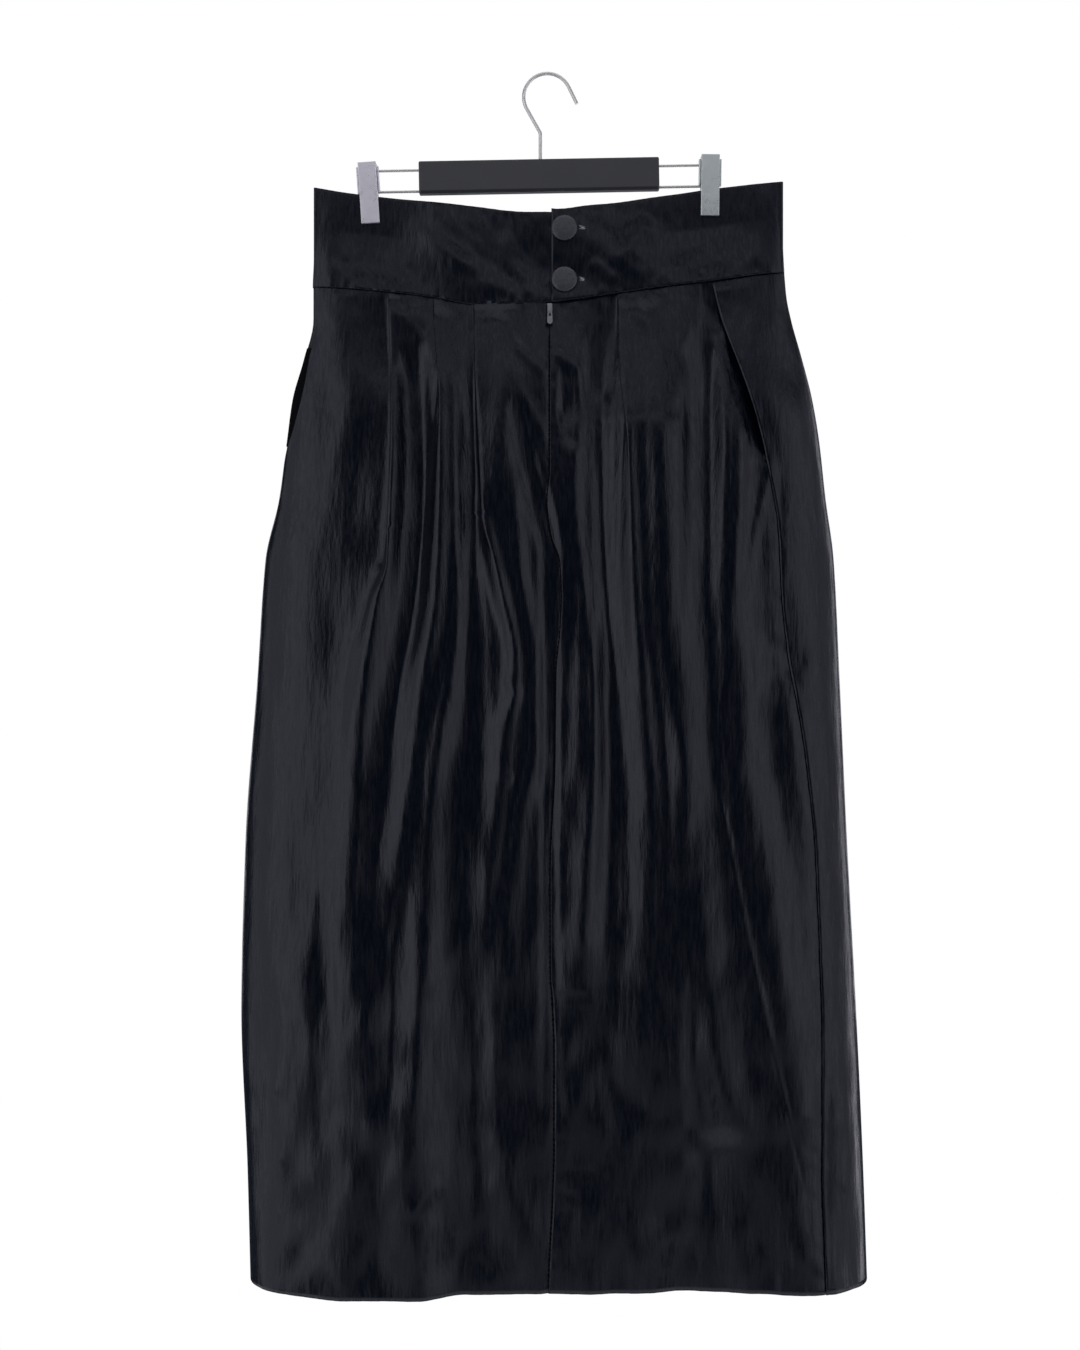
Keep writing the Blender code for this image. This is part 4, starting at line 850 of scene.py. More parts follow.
def relief(angle, z):
    """Height of all the folds at places of the tube."""
    x, y = bare_point(angle, z)
    shown = np.sin(angle) >= 0
    px, py = in_picture(x, y, z)
    back = ridges(BACK_RIDGES, x, z) + creases(CREASES, px, py)
    back = back + puckers(x, z, "back") + crumple(x, z, BACK_SEED)
    back += FOLD_GAIN * fine_folds(FINE_FOLDS, px, py, FINE_FADE, FOLD_WIDEN)
    back += fine_folds(FOLD_SHADES, px, py, SHADE_FADE, right_width=SHADE_RIGHT)
    back += fine_folds(VALLEYS, px, py, VALLEY_FADE, power=VALLEY_POWER)
    far = ridges(FRONT_RIDGES, x, z) + puckers(x, z, "front") + FRONT_CRUMPLE * crumple(x, z, FRONT_SEED)
    edge_fade = ease((1 - np.abs(np.cos(angle))) / RELIEF_EDGE)
    return edge_fade * np.where(shown, back, far)


def at_x(side, x, level, turn=0.0):
    """Station of a sheet at a place across the skirt; x and level follow the height."""
    return lambda z: (tube_angle(side, x(z), z) + turn, level(z))


def at_angle(degrees, level):
    """Station of a sheet at an angle round the tube."""
    return lambda z: (np.full_like(z, math.radians(degrees)), level(z))


def pleat_stations(side, rows, mirror=1):
    """Six stations of a pleat, from its under layer over both folds to its upper layer, in the order of x."""
    curves = table_curves(rows, PLEAT_COLUMNS)

    def station(number):
        def place(z):
            lap = curves["lap"](z)
            height = curves["height"](z)
            shut = lap / np.hypot(lap, OPENING)
            rounding = mix(OPEN_ROUND, FOLD_ROUND, (shut + 1) / 2)
            opened = np.minimum(rounding, np.maximum(-lap * LAP_ROUND, FOLD_ROUND))
            rounding = np.where(lap < 0, opened, rounding)
            offsets = (lap - rounding, lap, lap - rounding * shut, rounding * shut, 0.0 * lap, rounding)
            x = mirror * (curves["x"](z) + offsets[number])
            pressed = mix(PRESSED, 1.0, ease((EDGE_CURVES["seam"](x) - z) / PRESSED_DOWN))
            level = mix(OPEN_LEVELS[number], FOLDED_LEVELS[number], (shut + 1) / 2) * height * pressed
            return tube_angle(side, x, z), level

        return place

    stations = [station(number) for number in range(len(OPEN_LEVELS))]
    return stations if mirror == 1 else stations[::-1]


def flat(at):
    """Level of cloth that lies on the plain form."""
    return 0.0 * at


def at_level(level):
    """Level of cloth that lies evenly above the plain form, or below it."""
    return lambda at: level + 0.0 * at


def seam_height(station):
    """Height at which a station meets the seam under the waistband."""
    z = np.array([float(SEAM_Z)])
    for _ in range(SEAM_ROUNDS):
        x = bare_point(station(z)[0], z)[0]
        z = EDGE_CURVES["seam"](x) + TUCK
    return float(z[0])


def spline_across(values, keys, pieces):
    """Centripetal spline through columns of values; keys set the distances, pieces the points in each gap."""

    def extended(columns):
        before = 2 * columns[:, :1] - columns[:, 1:2]
        after = 2 * columns[:, -1:] - columns[:, -2:-1]
        return np.concatenate([before, columns, after], 1)

    padded = extended(values)
    steps = np.sqrt(np.maximum(np.linalg.norm(np.diff(extended(keys), axis=1), axis=2), SHORTEST_STEP))
    made = []
    for i, count in enumerate(pieces):
        p0, p1, p2, p3 = (padded[:, i + n] for n in range(4))
        t1 = steps[:, i][:, None]
        t2 = t1 + steps[:, i + 1][:, None]
        t3 = t2 + steps[:, i + 2][:, None]
        for n in range(count):
            t = t1 + (t2 - t1) * (n / count)
            a1 = p0 * (t1 - t) / t1 + p1 * t / t1
            a2 = p1 * (t2 - t) / (t2 - t1) + p2 * (t - t1) / (t2 - t1)
            a3 = p2 * (t3 - t) / (t3 - t2) + p3 * (t - t2) / (t3 - t2)
            b1 = a1 * (t2 - t) / t2 + a2 * t / t2
            b2 = a2 * (t3 - t) / (t3 - t1) + a3 * (t - t1) / (t3 - t1)
            made.append(b1 * (t2 - t) / (t2 - t1) + b2 * (t - t1) / (t2 - t1))
    made.append(values[:, -1])
    return np.stack(made, 1)


def sheet_points(stations, row_count, spacing):
    """Grid of points of one cut panel, row by row from the seam under the waistband to the hem."""
    shares = np.linspace(0.0, 1.0, row_count)
    columns = []
    for station in stations:
        z = mix(seam_height(station), HEM_Z, shares)
        angle, level = station(z)
        columns.append(np.stack([angle, level, z], 1))
    values = np.stack(columns, 1)
    x, y = bare_point(values[:, :, 0], values[:, :, 2])
    start = np.zeros((row_count, 1))
    arc = np.concatenate([start, np.cumsum(np.hypot(np.diff(x, axis=1), np.diff(y, axis=1)), 1)], 1)
    turned = np.sign(np.diff(values[:, :, 0], axis=1))
    signed = np.concatenate([start, np.cumsum(np.diff(arc, axis=1) * turned, 1)], 1)
    keys = np.stack([signed, values[:, :, 1]], 2)
    lengths = np.linalg.norm(np.diff(keys, axis=1), axis=2).max(0)
    pieces = [max(2, math.ceil(length / spacing)) for length in lengths]
    fine = spline_across(values, keys, pieces)
    angle, level, z = fine[:, :, 0], fine[:, :, 1], fine[:, :, 2]
    x, y = bare_point(angle, z)
    normal_x, normal_y = outward(angle, z)
    below = ease((EDGE_CURVES["seam"](x) - z) / TUCKED_DOWN)
    height = np.minimum(level + relief(angle, z), mix(TUCKED_HEIGHT, FREE_HEIGHT, below))
    return np.stack([x + normal_x * height, y + normal_y * height, z], 2)


def grid_object(name, points, material):
    """Object of an open sheet through a grid of points."""
    rows, columns = points.shape[:2]
    faces = [
        (r * columns + c, r * columns + c + 1, (r + 1) * columns + c + 1, (r + 1) * columns + c)
        for r in range(rows - 1)
        for c in range(columns - 1)
    ]
    return mesh_piece(name, (points.reshape(-1, 3) * MM).tolist(), faces, material)


def mesh_piece(name, vertices, faces, material):
    """Shown piece with smooth faces between vertices in metres."""
    mesh = bpy.data.meshes.new(name)
    mesh.from_pydata(vertices, [], faces)
    mesh.shade_smooth()
    return add_piece(name, mesh, material)


def add_piece(name, data, material):
    """Shown object that rides on the skirt's body."""
    thing = bpy.data.objects.new(name, data)
    data.materials.append(material)
    bpy.context.scene.collection.objects.link(thing)
    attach(thing, BODY)
    return thing


def add_shell(thing, thickness):
    """Thickness of the cloth."""
    solid = thing.modifiers.new("Shell", "SOLIDIFY")
    solid.thickness = thickness * MM
    solid.offset = 0.0
    solid.use_even_offset = False
    return thing


def left_seam_stations(level):
    """Stations across the lap of the left side seam."""

    def station(step):
        return at_x("back", lambda z: TUBE_CURVES["left"](z) + MOUTH_CURVE(z) + step, level)

    return [station(step) for step in LEFT_LAP_STEPS]


def centre_stations(level):
    """Stations across the centre seam's lap."""

    def station(share):
        return at_x("back", lambda z: CENTRE_CURVES["x"](z) + share * CENTRE_CURVES["lap"](z), level)

    return [station(share) for share in SEAM_SHARES]


def right_seam_stations(drop, turn=0.0):
    """Stations across the lap of the right side seam; drop is how far the sheet lies under the upper one."""

    def lifted(z):
        return SIDE_CURVES["lift"](z) - drop(z)

    def station(share):
        return at_x("back", lambda z: SIDE_CURVES["x"](z) + share * SIDE_LAP, lifted, turn)

    return [station(share) for share in SEAM_SHARES]


def panel_object(name, stations, material):
    """Object of one cut panel of the skirt."""
    return grid_object(name, sheet_points(stations, *PANEL_GRIDS[name]), material)


def build_back_left(material):
    """Back panel left of the centre seam."""
    stations = left_seam_stations(flat)
    for rows in (PLEAT_OUTER, PLEAT_MIDDLE, PLEAT_INNER):
        stations += pleat_stations("back", rows)
    stations.append(at_x("back", lambda z: CENTRE_CURVES["x"](z) - BEFORE_CENTRE, flat))
    stations += centre_stations(at_level(-LAYER))
    return panel_object("satin_back_left", stations, material)


def build_back_right(material):
    """Back panel right of the centre seam; it sinks under the right pocket's mouth."""

    def sinking(z):
        return -RIGHT_MOUTH_CURVE(z) * DROP_START

    stations = centre_stations(flat)
    stations += pleat_stations("back", PLEAT_RIGHT)
    stations.append(at_x("back", lambda z: SIDE_CURVES["x"](z) - BEFORE_MOUTH, flat))
    stations.append(at_x("back", lambda z: SIDE_CURVES["x"](z) - BEFORE_SIDE, sinking))
    stations += right_seam_stations(lambda z: LAYER + RIGHT_MOUTH_CURVE(z))
    return panel_object("satin_back_right", stations, material)


def build_front(material):
    """Front panel, round both edges."""
    stations = left_seam_stations(at_level(-LEFT_LAP_DROP))[::-1]
    stations += [at_angle(LEFT_TURN[0], at_level(-LEFT_LAP_DROP * DROP_START)), at_angle(LEFT_TURN[1], flat)]
    for rows in (PLEAT_OUTER, PLEAT_MIDDLE, PLEAT_INNER):
        stations += pleat_stations("front", rows)
    for rows in (PLEAT_INNER, PLEAT_MIDDLE, PLEAT_OUTER):
        stations += pleat_stations("front", rows, -1)
    stations += [at_angle(degrees, flat) for degrees in RIGHT_TURN]
    stations += right_seam_stations(flat, math.tau)[::-1]
    return panel_object("satin_front", stations, material)


def pinch(x):
    """Share of the clips' grip on the waistband at places across it."""
    away = np.minimum(np.abs(x - GRIP_X[0]), np.abs(x - GRIP_X[1]))
    return ease((GRIP_HALF + PINCH_REACH - away) / PINCH_REACH)


def band_depth(x, rise):
    """How far the waistband's wall stands from the middle plane; rise is 0 at its seam and 1 at its top."""
    middle = (BAND_LEFT_X + BAND_RIGHT_X) / 2
    half = (BAND_RIGHT_X - BAND_LEFT_X) / 2 - BAND_FOLD
    across = np.minimum(np.abs(x - middle) / half, 1.0)
    belly = mix(BAND_SEAM_DEPTH, BAND_TOP_DEPTH, rise) * (1 - across**BAND_SQUARE) ** (1 / BAND_SQUARE)
    held = pinch(x) * np.clip(rise / PINCH_SHARE, 0.0, 1.0)
    return mix(np.maximum(belly, BAND_FOLD), BAND_PINCH, held)


def band_relief(x, rise):
    """Height of the waistband's puckers, drag lines and unevenness; none at its folded ends and its clips."""
    free = 1 - pinch(x) * ease(rise / PINCH_SHARE)
    ends = ease((x - BAND_LEFT_X - BAND_END_STILL) / BAND_END_EASE)
    ends = ends * ease((BAND_RIGHT_X - BAND_END_STILL - x) / BAND_END_EASE)
    height_up = BAND_HEIGHT * rise
    total = 0.0 * x
    for edge, away in (("seam", rise), ("top", 1 - rise)):
        height, across, up, reach, seed = BAND_PUCKERS[edge]
        total += height * cloth_noise(x / across, height_up / up, seed) * np.exp(-away / reach)
    for height, across, up, slant_across, slant_up, foot, seed in BAND_NOISES:
        started = ease(rise / foot) if foot else 1.0
        u = (x + slant_across * height_up) / across
        v = (height_up + slant_up * x) / up
        total += height * started * cloth_noise(u, v, seed)
    z = mix(EDGE_CURVES["seam"](x), EDGE_CURVES["top"](x), rise)
    total += creases(BAND_DRAGS, x, z)
    return free * ends * total


def band_sheet(name, side, x_list, level, material, ends):
    """Waistband piece: its cloth goes up the outside, over the fold at its top and down the inside."""
    x = np.array(x_list)
    rises = np.linspace(0.0, 1.0, BAND_ROWS)
    rows = []
    out = 1 if side == "front" else -1
    seam, top = EDGE_CURVES["seam"](x), EDGE_CURVES["top"](x)
    if name.endswith("right"):
        top = top + BAND_CORNER_RISE * np.exp(-(x - BAND_END_X) / BAND_CORNER_REACH)

    def wall(rise, step, lift):
        middle = band_depth(x, rise) + level(x) + band_relief(x, rise)
        z = mix(seam, top, rise) + lift
        shift = np.zeros_like(x)
        depth = middle + step
        for x_end, way in ends:
            x_start = x_end - way * BAND_FOLD
            beyond = np.clip((x - x_start) * way / BAND_FOLD, 0.0, 1.0)
            inside = (x - x_start) * way <= 0
            round_depth = (BAND_FOLD + step) * np.sqrt(np.maximum(1 - beyond**2, 0.0))
            depth = np.where(inside, depth, np.maximum(round_depth, BAND_END_GAP / 2))
            shift = np.where(inside, shift, way * beyond * step)
        return np.stack([x + shift, out * depth, z], 1)

    for rise in rises:
        rows.append(wall(rise, mix(BAND_FOOT_THICK, BAND_HALF_THICK, ease(rise / BAND_FOOT_RISE)), 0.0))
    for turn in np.linspace(0.0, 180.0, BAND_FOLD_TURNS + 2)[1:-1]:
        angle = math.radians(turn)
        rows.append(wall(1.0, BAND_HALF_THICK * math.cos(angle), BAND_HALF_THICK * math.sin(angle)))
    for rise in rises[::-BAND_INNER_STEP]:
        rows.append(wall(rise, -BAND_HALF_THICK, 0.0))
    return grid_object(name, np.stack(rows), material)


def band_xs(start, stop):
    """Evenly spaced places across the waistband."""
    count = math.ceil(abs(stop - start) / BAND_SPACING)
    return list(np.linspace(start, stop, count + 1))


def end_xs(x_end, way):
    """Places round a folded end of the waistband, from its side seam inward."""
    x_start = x_end - way * BAND_FOLD
    last = math.acos(BAND_END_GAP / BAND_FOLD)
    return [x_start + way * BAND_FOLD * math.sin(last * share) for share in BAND_END_SHARES]


def build_bands(material):
    """The three pieces of the waistband."""
    left_end = end_xs(BAND_LEFT_X, -1)
    right_end = end_xs(BAND_RIGHT_X, 1)[::-1]
    left_inner = BAND_LEFT_X + BAND_FOLD
    right_inner = BAND_RIGHT_X - BAND_FOLD
    front_xs = left_end + band_xs(left_inner, right_inner) + right_end
    left_xs = left_end + band_xs(left_inner, BAND_END_X + BAND_END_LAP)
    right_xs = band_xs(BAND_END_X, right_inner) + right_end
    ends = ((BAND_LEFT_X, -1), (BAND_RIGHT_X, 1))

    def shaded(x):
        return BAND_EDGE_SHADE * np.exp(-(((x - BAND_END_X) / BAND_EDGE_REACH) ** 2))

    return (
        band_sheet("satin_band_front", "front", front_xs, flat, material, ends),
        band_sheet("satin_band_back_left", "back", left_xs, shaded, material, ends[:1]),
        band_sheet("satin_band_back_right", "back", right_xs, lap_level, material, ends[1:]),
    )


def lap_level(x):
    """Level of the waistband's over end above the plain band."""
    return BAND_LAYER * ease((BAND_END_X + BAND_END_LAP + BAND_END_LEVEL_OUT - x) / BAND_END_LEVEL_OUT)


def over_end(x, z, thickness=0.0):
    """Y of the over end's outer face."""
    seam, top = EDGE_CURVES["seam"](x), EDGE_CURVES["top"](x)
    rise = (z - seam) / (top - seam)
    return -(band_depth(x, rise) + lap_level(x) + float(band_relief(np.array([x]), rise)[0]) + thickness)


def build_button(name, z, material):
    """Covered button: a soft dome whose cloth puckers a little at its rim, with its shank."""
    rings = [(BUTTON_POLE, BUTTON_DOME)]
    for step in range(1, BUTTON_DOME_STEPS + 1):
        turn = step / BUTTON_DOME_STEPS * math.pi / 2
        height = BUTTON_RIM + (BUTTON_DOME - BUTTON_RIM) * math.cos(turn)
        rings.append((BUTTON_RADIUS * math.sin(turn), height))
    rings += [(BUTTON_RADIUS - BUTTON_EDGE * inward, BUTTON_EDGE * up) for inward, up in BUTTON_SIDE]
    rings += [(SHANK_RADIUS, 0.0), (SHANK_RADIUS, -SHANK_LENGTH), (BUTTON_POLE, -SHANK_LENGTH)]
    vertices = []
    for radius, height in rings:
        rim = ease((radius / BUTTON_RADIUS - BUTTON_RIM_FROM) / BUTTON_RIM_OVER) * (height > 0)
        for number in range(BUTTON_TURNS):
            share = number / BUTTON_TURNS
            wave = 1 + math.sin(math.tau * BUTTON_PUCKER_COUNT * share + BUTTON_PUCKER_START * z)
            reach = radius * (1 - rim * BUTTON_PUCKER / BUTTON_RADIUS * wave)
            turn = math.tau * share
            vertices.append((reach * math.cos(turn) * MM, reach * math.sin(turn) * MM, height * MM))
    faces = []
    for ring in range(len(rings) - 1):
        for number in range(BUTTON_TURNS):
            after = (number + 1) % BUTTON_TURNS
            first, second = ring * BUTTON_TURNS, (ring + 1) * BUTTON_TURNS
            faces.append((first + number, second + number, second + after, first + after))
    button = mesh_piece(name, vertices, faces, material)
    upper = over_end(BUTTON_X, z + BUTTON_RADIUS, OVER_END_THICK)
    lower = over_end(BUTTON_X, z - BUTTON_RADIUS, OVER_END_THICK)
    button.rotation_euler = (math.pi / 2 - math.atan((upper - lower) / (2 * BUTTON_RADIUS)), 0, 0)
    button.location = Vector((BUTTON_X, (upper + lower) / 2 - BUTTON_SEAT, z)) * MM
    return button


def stitches_object(name, stitches, radius, material):
    """Short straight stitches as one mesh; each is a pair of end points."""
    vertices, faces = [], []
    ring_count = len(STITCH_SWELL)
    for start, end in stitches:
        start, end = Vector(start), Vector(end)
        along = (end - start).normalized()
        aside = along.orthogonal().normalized()
        over = along.cross(aside)
        first = len(vertices)
        for share, swell in STITCH_SWELL:
            for number in range(STITCH_SIDES):
                turn = math.tau * number / STITCH_SIDES
                round_part = (aside * math.cos(turn) + over * math.sin(turn)) * radius * swell
                vertices.append((start.lerp(end, share) + round_part) * MM)
        for ring in range(ring_count - 1):
            for number in range(STITCH_SIDES):
                after = (number + 1) % STITCH_SIDES
                low, high = first + ring * STITCH_SIDES, first + (ring + 1) * STITCH_SIDES
                faces.append((low + number, low + after, high + after, high + number))
        last = first + (ring_count - 1) * STITCH_SIDES
        faces.append(tuple(range(first, first + STITCH_SIDES))[::-1])
        faces.append(tuple(range(last, last + STITCH_SIDES)))
    return mesh_piece(name, vertices, faces, material)


def on_band(x, z, lift):
    """Point of the over end's outer face at a place across and up it."""
    return Vector((x, over_end(x, z, OVER_END_THICK + lift), z))


def build_buttonhole(name, z, dark, pale):
    """Worked buttonhole: stitches along its slit and fanned round its end, and a few loose threads."""
    stitches = []
    reach = HOLE_SLIT + HOLE_STITCH_LENGTH
    start = BUTTON_X + BUTTON_RADIUS - HOLE_HIDDEN
    count = math.ceil((BUTTONHOLE_END_X - start) / HOLE_STITCH_STEP)
    for number in range(count + 1):
        x = start + number * HOLE_STITCH_STEP
        for way in (-1, 1):
            inner = on_band(x, z + way * HOLE_SLIT, 0.0)
            stitches.append((inner, on_band(x + HOLE_SLANT, z + way * reach, 0.0)))
    for number in range(HOLE_FAN):
        turn = math.pi * (number / (HOLE_FAN - 1) - 0.5)
        near = Vector((math.cos(turn), math.sin(turn)))
        inner = on_band(BUTTONHOLE_END_X + HOLE_SLIT * near.x, z + HOLE_SLIT * near.y, 0.0)
        stitches.append((inner, on_band(BUTTONHOLE_END_X + reach * near.x, z + reach * near.y, 0.0)))
    stitches_object(name, stitches, HOLE_STITCH, dark)
    loose = []
    for x0, z0, x1, z1 in HOLE_LOOSE:
        near = on_band(BUTTONHOLE_END_X + x0, z + z0, LOOSE_LIFT[0])
        loose.append((near, on_band(BUTTONHOLE_END_X + x1, z + z1, LOOSE_LIFT[1])))
    stitches_object(name + "_threads", loose, HOLE_STITCH * LOOSE_THIN, pale)


def on_back(px, py, level):
    """Point of the shown side's cloth at a picture place."""
    y = PLACE_START_Y
    for _ in range(PLACE_ROUNDS):
        scale = PICTURE[1] / FRAME_HEIGHT * CAMERA_AWAY / (CAMERA_AWAY + y)
        x = np.array([CAMERA_X + (px - PICTURE[0] / 2) / scale])
        z = np.array([CAMERA_Z - (py - PICTURE[1] / 2) / scale])
        angle = tube_angle("back", x, z)
        y = float((bare_point(angle, z)[1] + outward(angle, z)[1] * (level + relief(angle, z)))[0])
    return Vector((float(x[0]), y, float(z[0])))


def on_cloth(x, z, level):
    """Point of the shown side's cloth at a place across and a height."""
    x, z = np.array([x]), np.array([z])
    angle = tube_angle("back", x, z)
    lifted = level + relief(angle, z)
    point_x, point_y = bare_point(angle, z)
    normal_x, normal_y = outward(angle, z)
    place_x, place_y = point_x + normal_x * lifted, point_y + normal_y * lifted
    return Vector((float(place_x[0]), float(place_y[0]), float(z[0])))


def build_seam_shade_line(material):
    """Stitches along the folded edge of the centre seam and the vent, matte and near black as a painted shade
    line along the seam.
    """

    def on_edge(z):
        x = float(CENTRE_CURVES["x"](np.array([z]))[0]) - SEAM_LINE_ASIDE
        return on_cloth(x, z, SEAM_LINE_LEVEL)

    stitches = []
    z = SEAM_LINE_TOP
    while z - SEAM_STITCH > HEM_Z + SEAM_STITCH:
        stitches.append((on_edge(z), on_edge(z - SEAM_STITCH)))
        z -= SEAM_STITCH * SEAM_STITCH_PITCH
    return stitches_object("centre_seam_shade_line", stitches, SEAM_SHADE_THREAD, material)


def build_pocket_facing_shade(material):
    """Facing of the left pocket that shows past the mouth's near edge, matte and near black as painted shade
    of the mouth's recess.
    """
    z = np.linspace(FACING_TOP, FACING_FOOT, FACING_ROWS)
    near = tube_angle("back", TUBE_CURVES["left"](z) + MOUTH_CURVE(z) + FACING_TUCK, z)
    shares = np.linspace(0.0, 1.0, FACING_COLUMNS)
    angle = mix(near[:, None], math.radians(FACING_TURN), shares)
    heights = np.repeat(z[:, None], FACING_COLUMNS, 1)
    x, y = bare_point(angle, heights)
    normal_x, normal_y = outward(angle, heights)
    drop = mix(-LEFT_LAP_DROP, -LEFT_LAP_DROP * DROP_START, shares)
    level = drop + FACING_LEVEL + relief(angle, heights)
    points = np.stack([x + normal_x * level, y + normal_y * level, heights], 2)
    return grid_object("pocket_facing_shade_left", points, material)


def build_tack(material):
    """Bar tack at the lower end of the right pocket's mouth."""
    x0, y0, x1, y1 = TACK_PLACE
    stitches = []
    for number in range(TACK_STITCHES):
        px = mix(x0, x1, number / (TACK_STITCHES - 1))
        upper = on_back(px, y0 + TACK_UNEVEN * (number % 2), TACK_LEVEL)
        stitches.append((upper, on_back(px + TACK_SLANT, y1, TACK_LEVEL)))
    return stitches_object("pocket_tack", stitches, HOLE_STITCH, material)


def build_bar_shadow_trim(material):
    """Near-black strip along the lower edge of the hanger's bar: painted shadow of the dark line under the
    bar.
    """
    width, depth, height = BAR_SIZE
    mesh = bpy.data.meshes.new("bar_shadow_trim")
    half_x = width / 2 - TRIM_INSET
    front = -depth / 2 - TRIM_DEPTH
    low = -height / 2 + TRIM_RISE
    corners = [(x, y, z) for x in (-half_x, half_x) for y in (front, 0.0) for z in (low, low + TRIM_HEIGHT)]
    mesh.from_pydata([Vector(corner) * MM for corner in corners], [], BOX_FACES)
    trim = add_piece("bar_shadow_trim", mesh, material)
    trim.location = Vector((BAR_CENTRE[0], 0, BAR_CENTRE[1])) * MM
    trim.rotation_euler = (0, -HANGER_TILT, 0)
    edge = trim.modifiers.new("Edge", "BEVEL")
    edge.width = TRIM_EDGE * MM
    edge.segments = 2


def set_inputs(node, values):
    """Set a node's inputs, by name or number."""
    for label, value in values.items():
        node.inputs[label].default_value = value


def new_material(name, colour, roughness, metallic=0.0):
    """Material with its Principled shader, for nodes to be added to."""
    material = bpy.data.materials.new(name)
    material.use_nodes = True
    surface = material.node_tree.nodes["Principled BSDF"]
    set_inputs(surface, {"Base Color": (*colour, 1.0), "Roughness": roughness, "Metallic": metallic})
    return material, material.node_tree, surface


def stretched_noise(tree, scale, detail, rough):
    """Noise in the model's own coordinates, with its own scale along each axis."""
    nodes, links = tree.nodes, tree.links
    place = nodes.new("ShaderNodeTexCoord")
    mapping = nodes.new("ShaderNodeMapping")
    noise = nodes.new("ShaderNodeTexNoise")
    set_inputs(mapping, {"Scale": scale})
    set_inputs(noise, {"Scale": 1.0, "Detail": detail, "Roughness": rough})
    links.new(place.outputs["Object"], mapping.inputs["Vector"])
    links.new(mapping.outputs["Vector"], noise.inputs["Vector"])
    return noise.outputs["Fac"]


def ranged(tree, value, low, high):
    """Noise moved from the range it mostly keeps to, to another."""
    node = tree.nodes.new("ShaderNodeMapRange")
    set_inputs(node, {"From Min": NOISE_LOW, "From Max": NOISE_HIGH, "To Min": low, "To Max": high})
    tree.links.new(value, node.inputs["Value"])
    return node.outputs["Result"]


def add_bump(tree, surface, height, strength, distance, before=None):
    """Bump on a shader, after an earlier one."""
    bump = tree.nodes.new("ShaderNodeBump")
    set_inputs(bump, {"Strength": strength, "Distance": distance})
    tree.links.new(height, bump.inputs["Height"])
    if before is not None:
        tree.links.new(before, bump.inputs["Normal"])
    tree.links.new(bump.outputs["Normal"], surface.inputs["Normal"])
    return bump.outputs["Normal"]


def colour_between(tree, value, first, second):
    """Colour mixed by a value."""
    node = tree.nodes.new("ShaderNodeMix")
    node.data_type = "RGBA"
    set_inputs(node, {MIX_FIRST: (*first, 1.0), MIX_SECOND: (*second, 1.0)})
    tree.links.new(value, node.inputs["Factor"])
    return node.outputs[MIX_RESULT]


def satin_material(name, grain, shades=SATIN_SHADES):
    """Black satin with slubs along its warp; grain is the stretch of its noise along X, Y and Z."""
    material, tree, surface = new_material(name, shades[0], SATIN_ROUGHNESS)
    set_inputs(surface, SATIN_FINISH)
    noises = {}
    for kind, (scale, detail, rough) in SATIN_NOISES.items():
        noises[kind] = stretched_noise(tree, tuple(g * scale for g in grain), detail, rough)
    tree.links.new(ranged(tree, noises["slubs"], *SATIN_POLISH), surface.inputs["Roughness"])
    tree.links.new(colour_between(tree, noises["patches"], *shades), surface.inputs["Base Color"])
    bump = None
    for kind, noise in noises.items():
        bump = add_bump(tree, surface, noise, *SATIN_BUMPS[kind], bump)
    return material


def wire_points(side):
    """Line of a rail's wire: out from the bar, round the far end and back."""
    clip = CLIPS[side]
    out = clip["out"]
    tilt = Matrix.Rotation(HANGER_TILT, 3, "Y")
    away = Vector((clip["top"][0] + out * RAIL_IN_CLIP - BAR_CENTRE[0], 0, clip["top"][1] - BAR_CENTRE[1]))
    far = (tilt @ away).x
    start_x = out * (BAR_SIZE[0] / 2 - RAIL_IN_BAR)
    upper = RAIL_RISE + RAIL_SPACING / 2
    lower = RAIL_RISE - RAIL_SPACING / 2
    turn_x = far - out * RAIL_BEND
    points = [Vector((start_x, 0, upper))]
    for centre_z, start, stop in ((upper - RAIL_BEND, 90, 0), (lower + RAIL_BEND, 0, -90)):
        for step in range(RAIL_BEND_STEPS + 1):
            angle = math.radians(mix(start, stop, step / RAIL_BEND_STEPS))
            z = centre_z + RAIL_BEND * math.sin(angle)
            points.append(Vector((turn_x + out * RAIL_BEND * math.cos(angle), 0, z)))
    points.append(Vector((start_x, 0, lower)))
    back = tilt.inverted()
    return [back @ point + Vector((BAR_CENTRE[0], 0, BAR_CENTRE[1])) for point in points]


def hook_points():
    """Line of the hook's wire."""

    def arc(centre, radius, start, stop, count):
        angles = np.linspace(start, stop, count)
        return [centre + radius * Vector((math.cos(angle), 0, math.sin(angle))) for angle in angles]

    mouth, leg = math.radians(HOOK_MOUTH_ANGLE), math.radians(HOOK_LEG_ANGLE)
    crown = arc(Vector((0.0, 0.0, -(HOOK_RADIUS - HOOK_WIRE))), HOOK_RADIUS, mouth, leg, HOOK_CROWN_POINTS)
    flare = Vector((math.sin(mouth), 0, -math.cos(mouth)))
    down = Vector((-math.sin(leg), 0, math.cos(leg)))
    slant = math.atan2(down.x, -down.z)
    corner = crown[-1] + down * HOOK_LEG
    bend_centre = Vector((corner.x - HOOK_BEND, 0, corner.z - HOOK_BEND * math.tan(slant / 2)))
    bend = arc(bend_centre, HOOK_BEND, slant, 0, HOOK_BEND_POINTS)
    stem_end = Vector((corner.x, 0, BAR_CENTRE[1] + BAR_SIZE[2] / 2 - HOOK_STEM_IN_BAR))
    return [crown[0] + flare * HOOK_FLARE, crown[0] + flare * HOOK_FLARE / 2] + crown + bend + [stem_end]


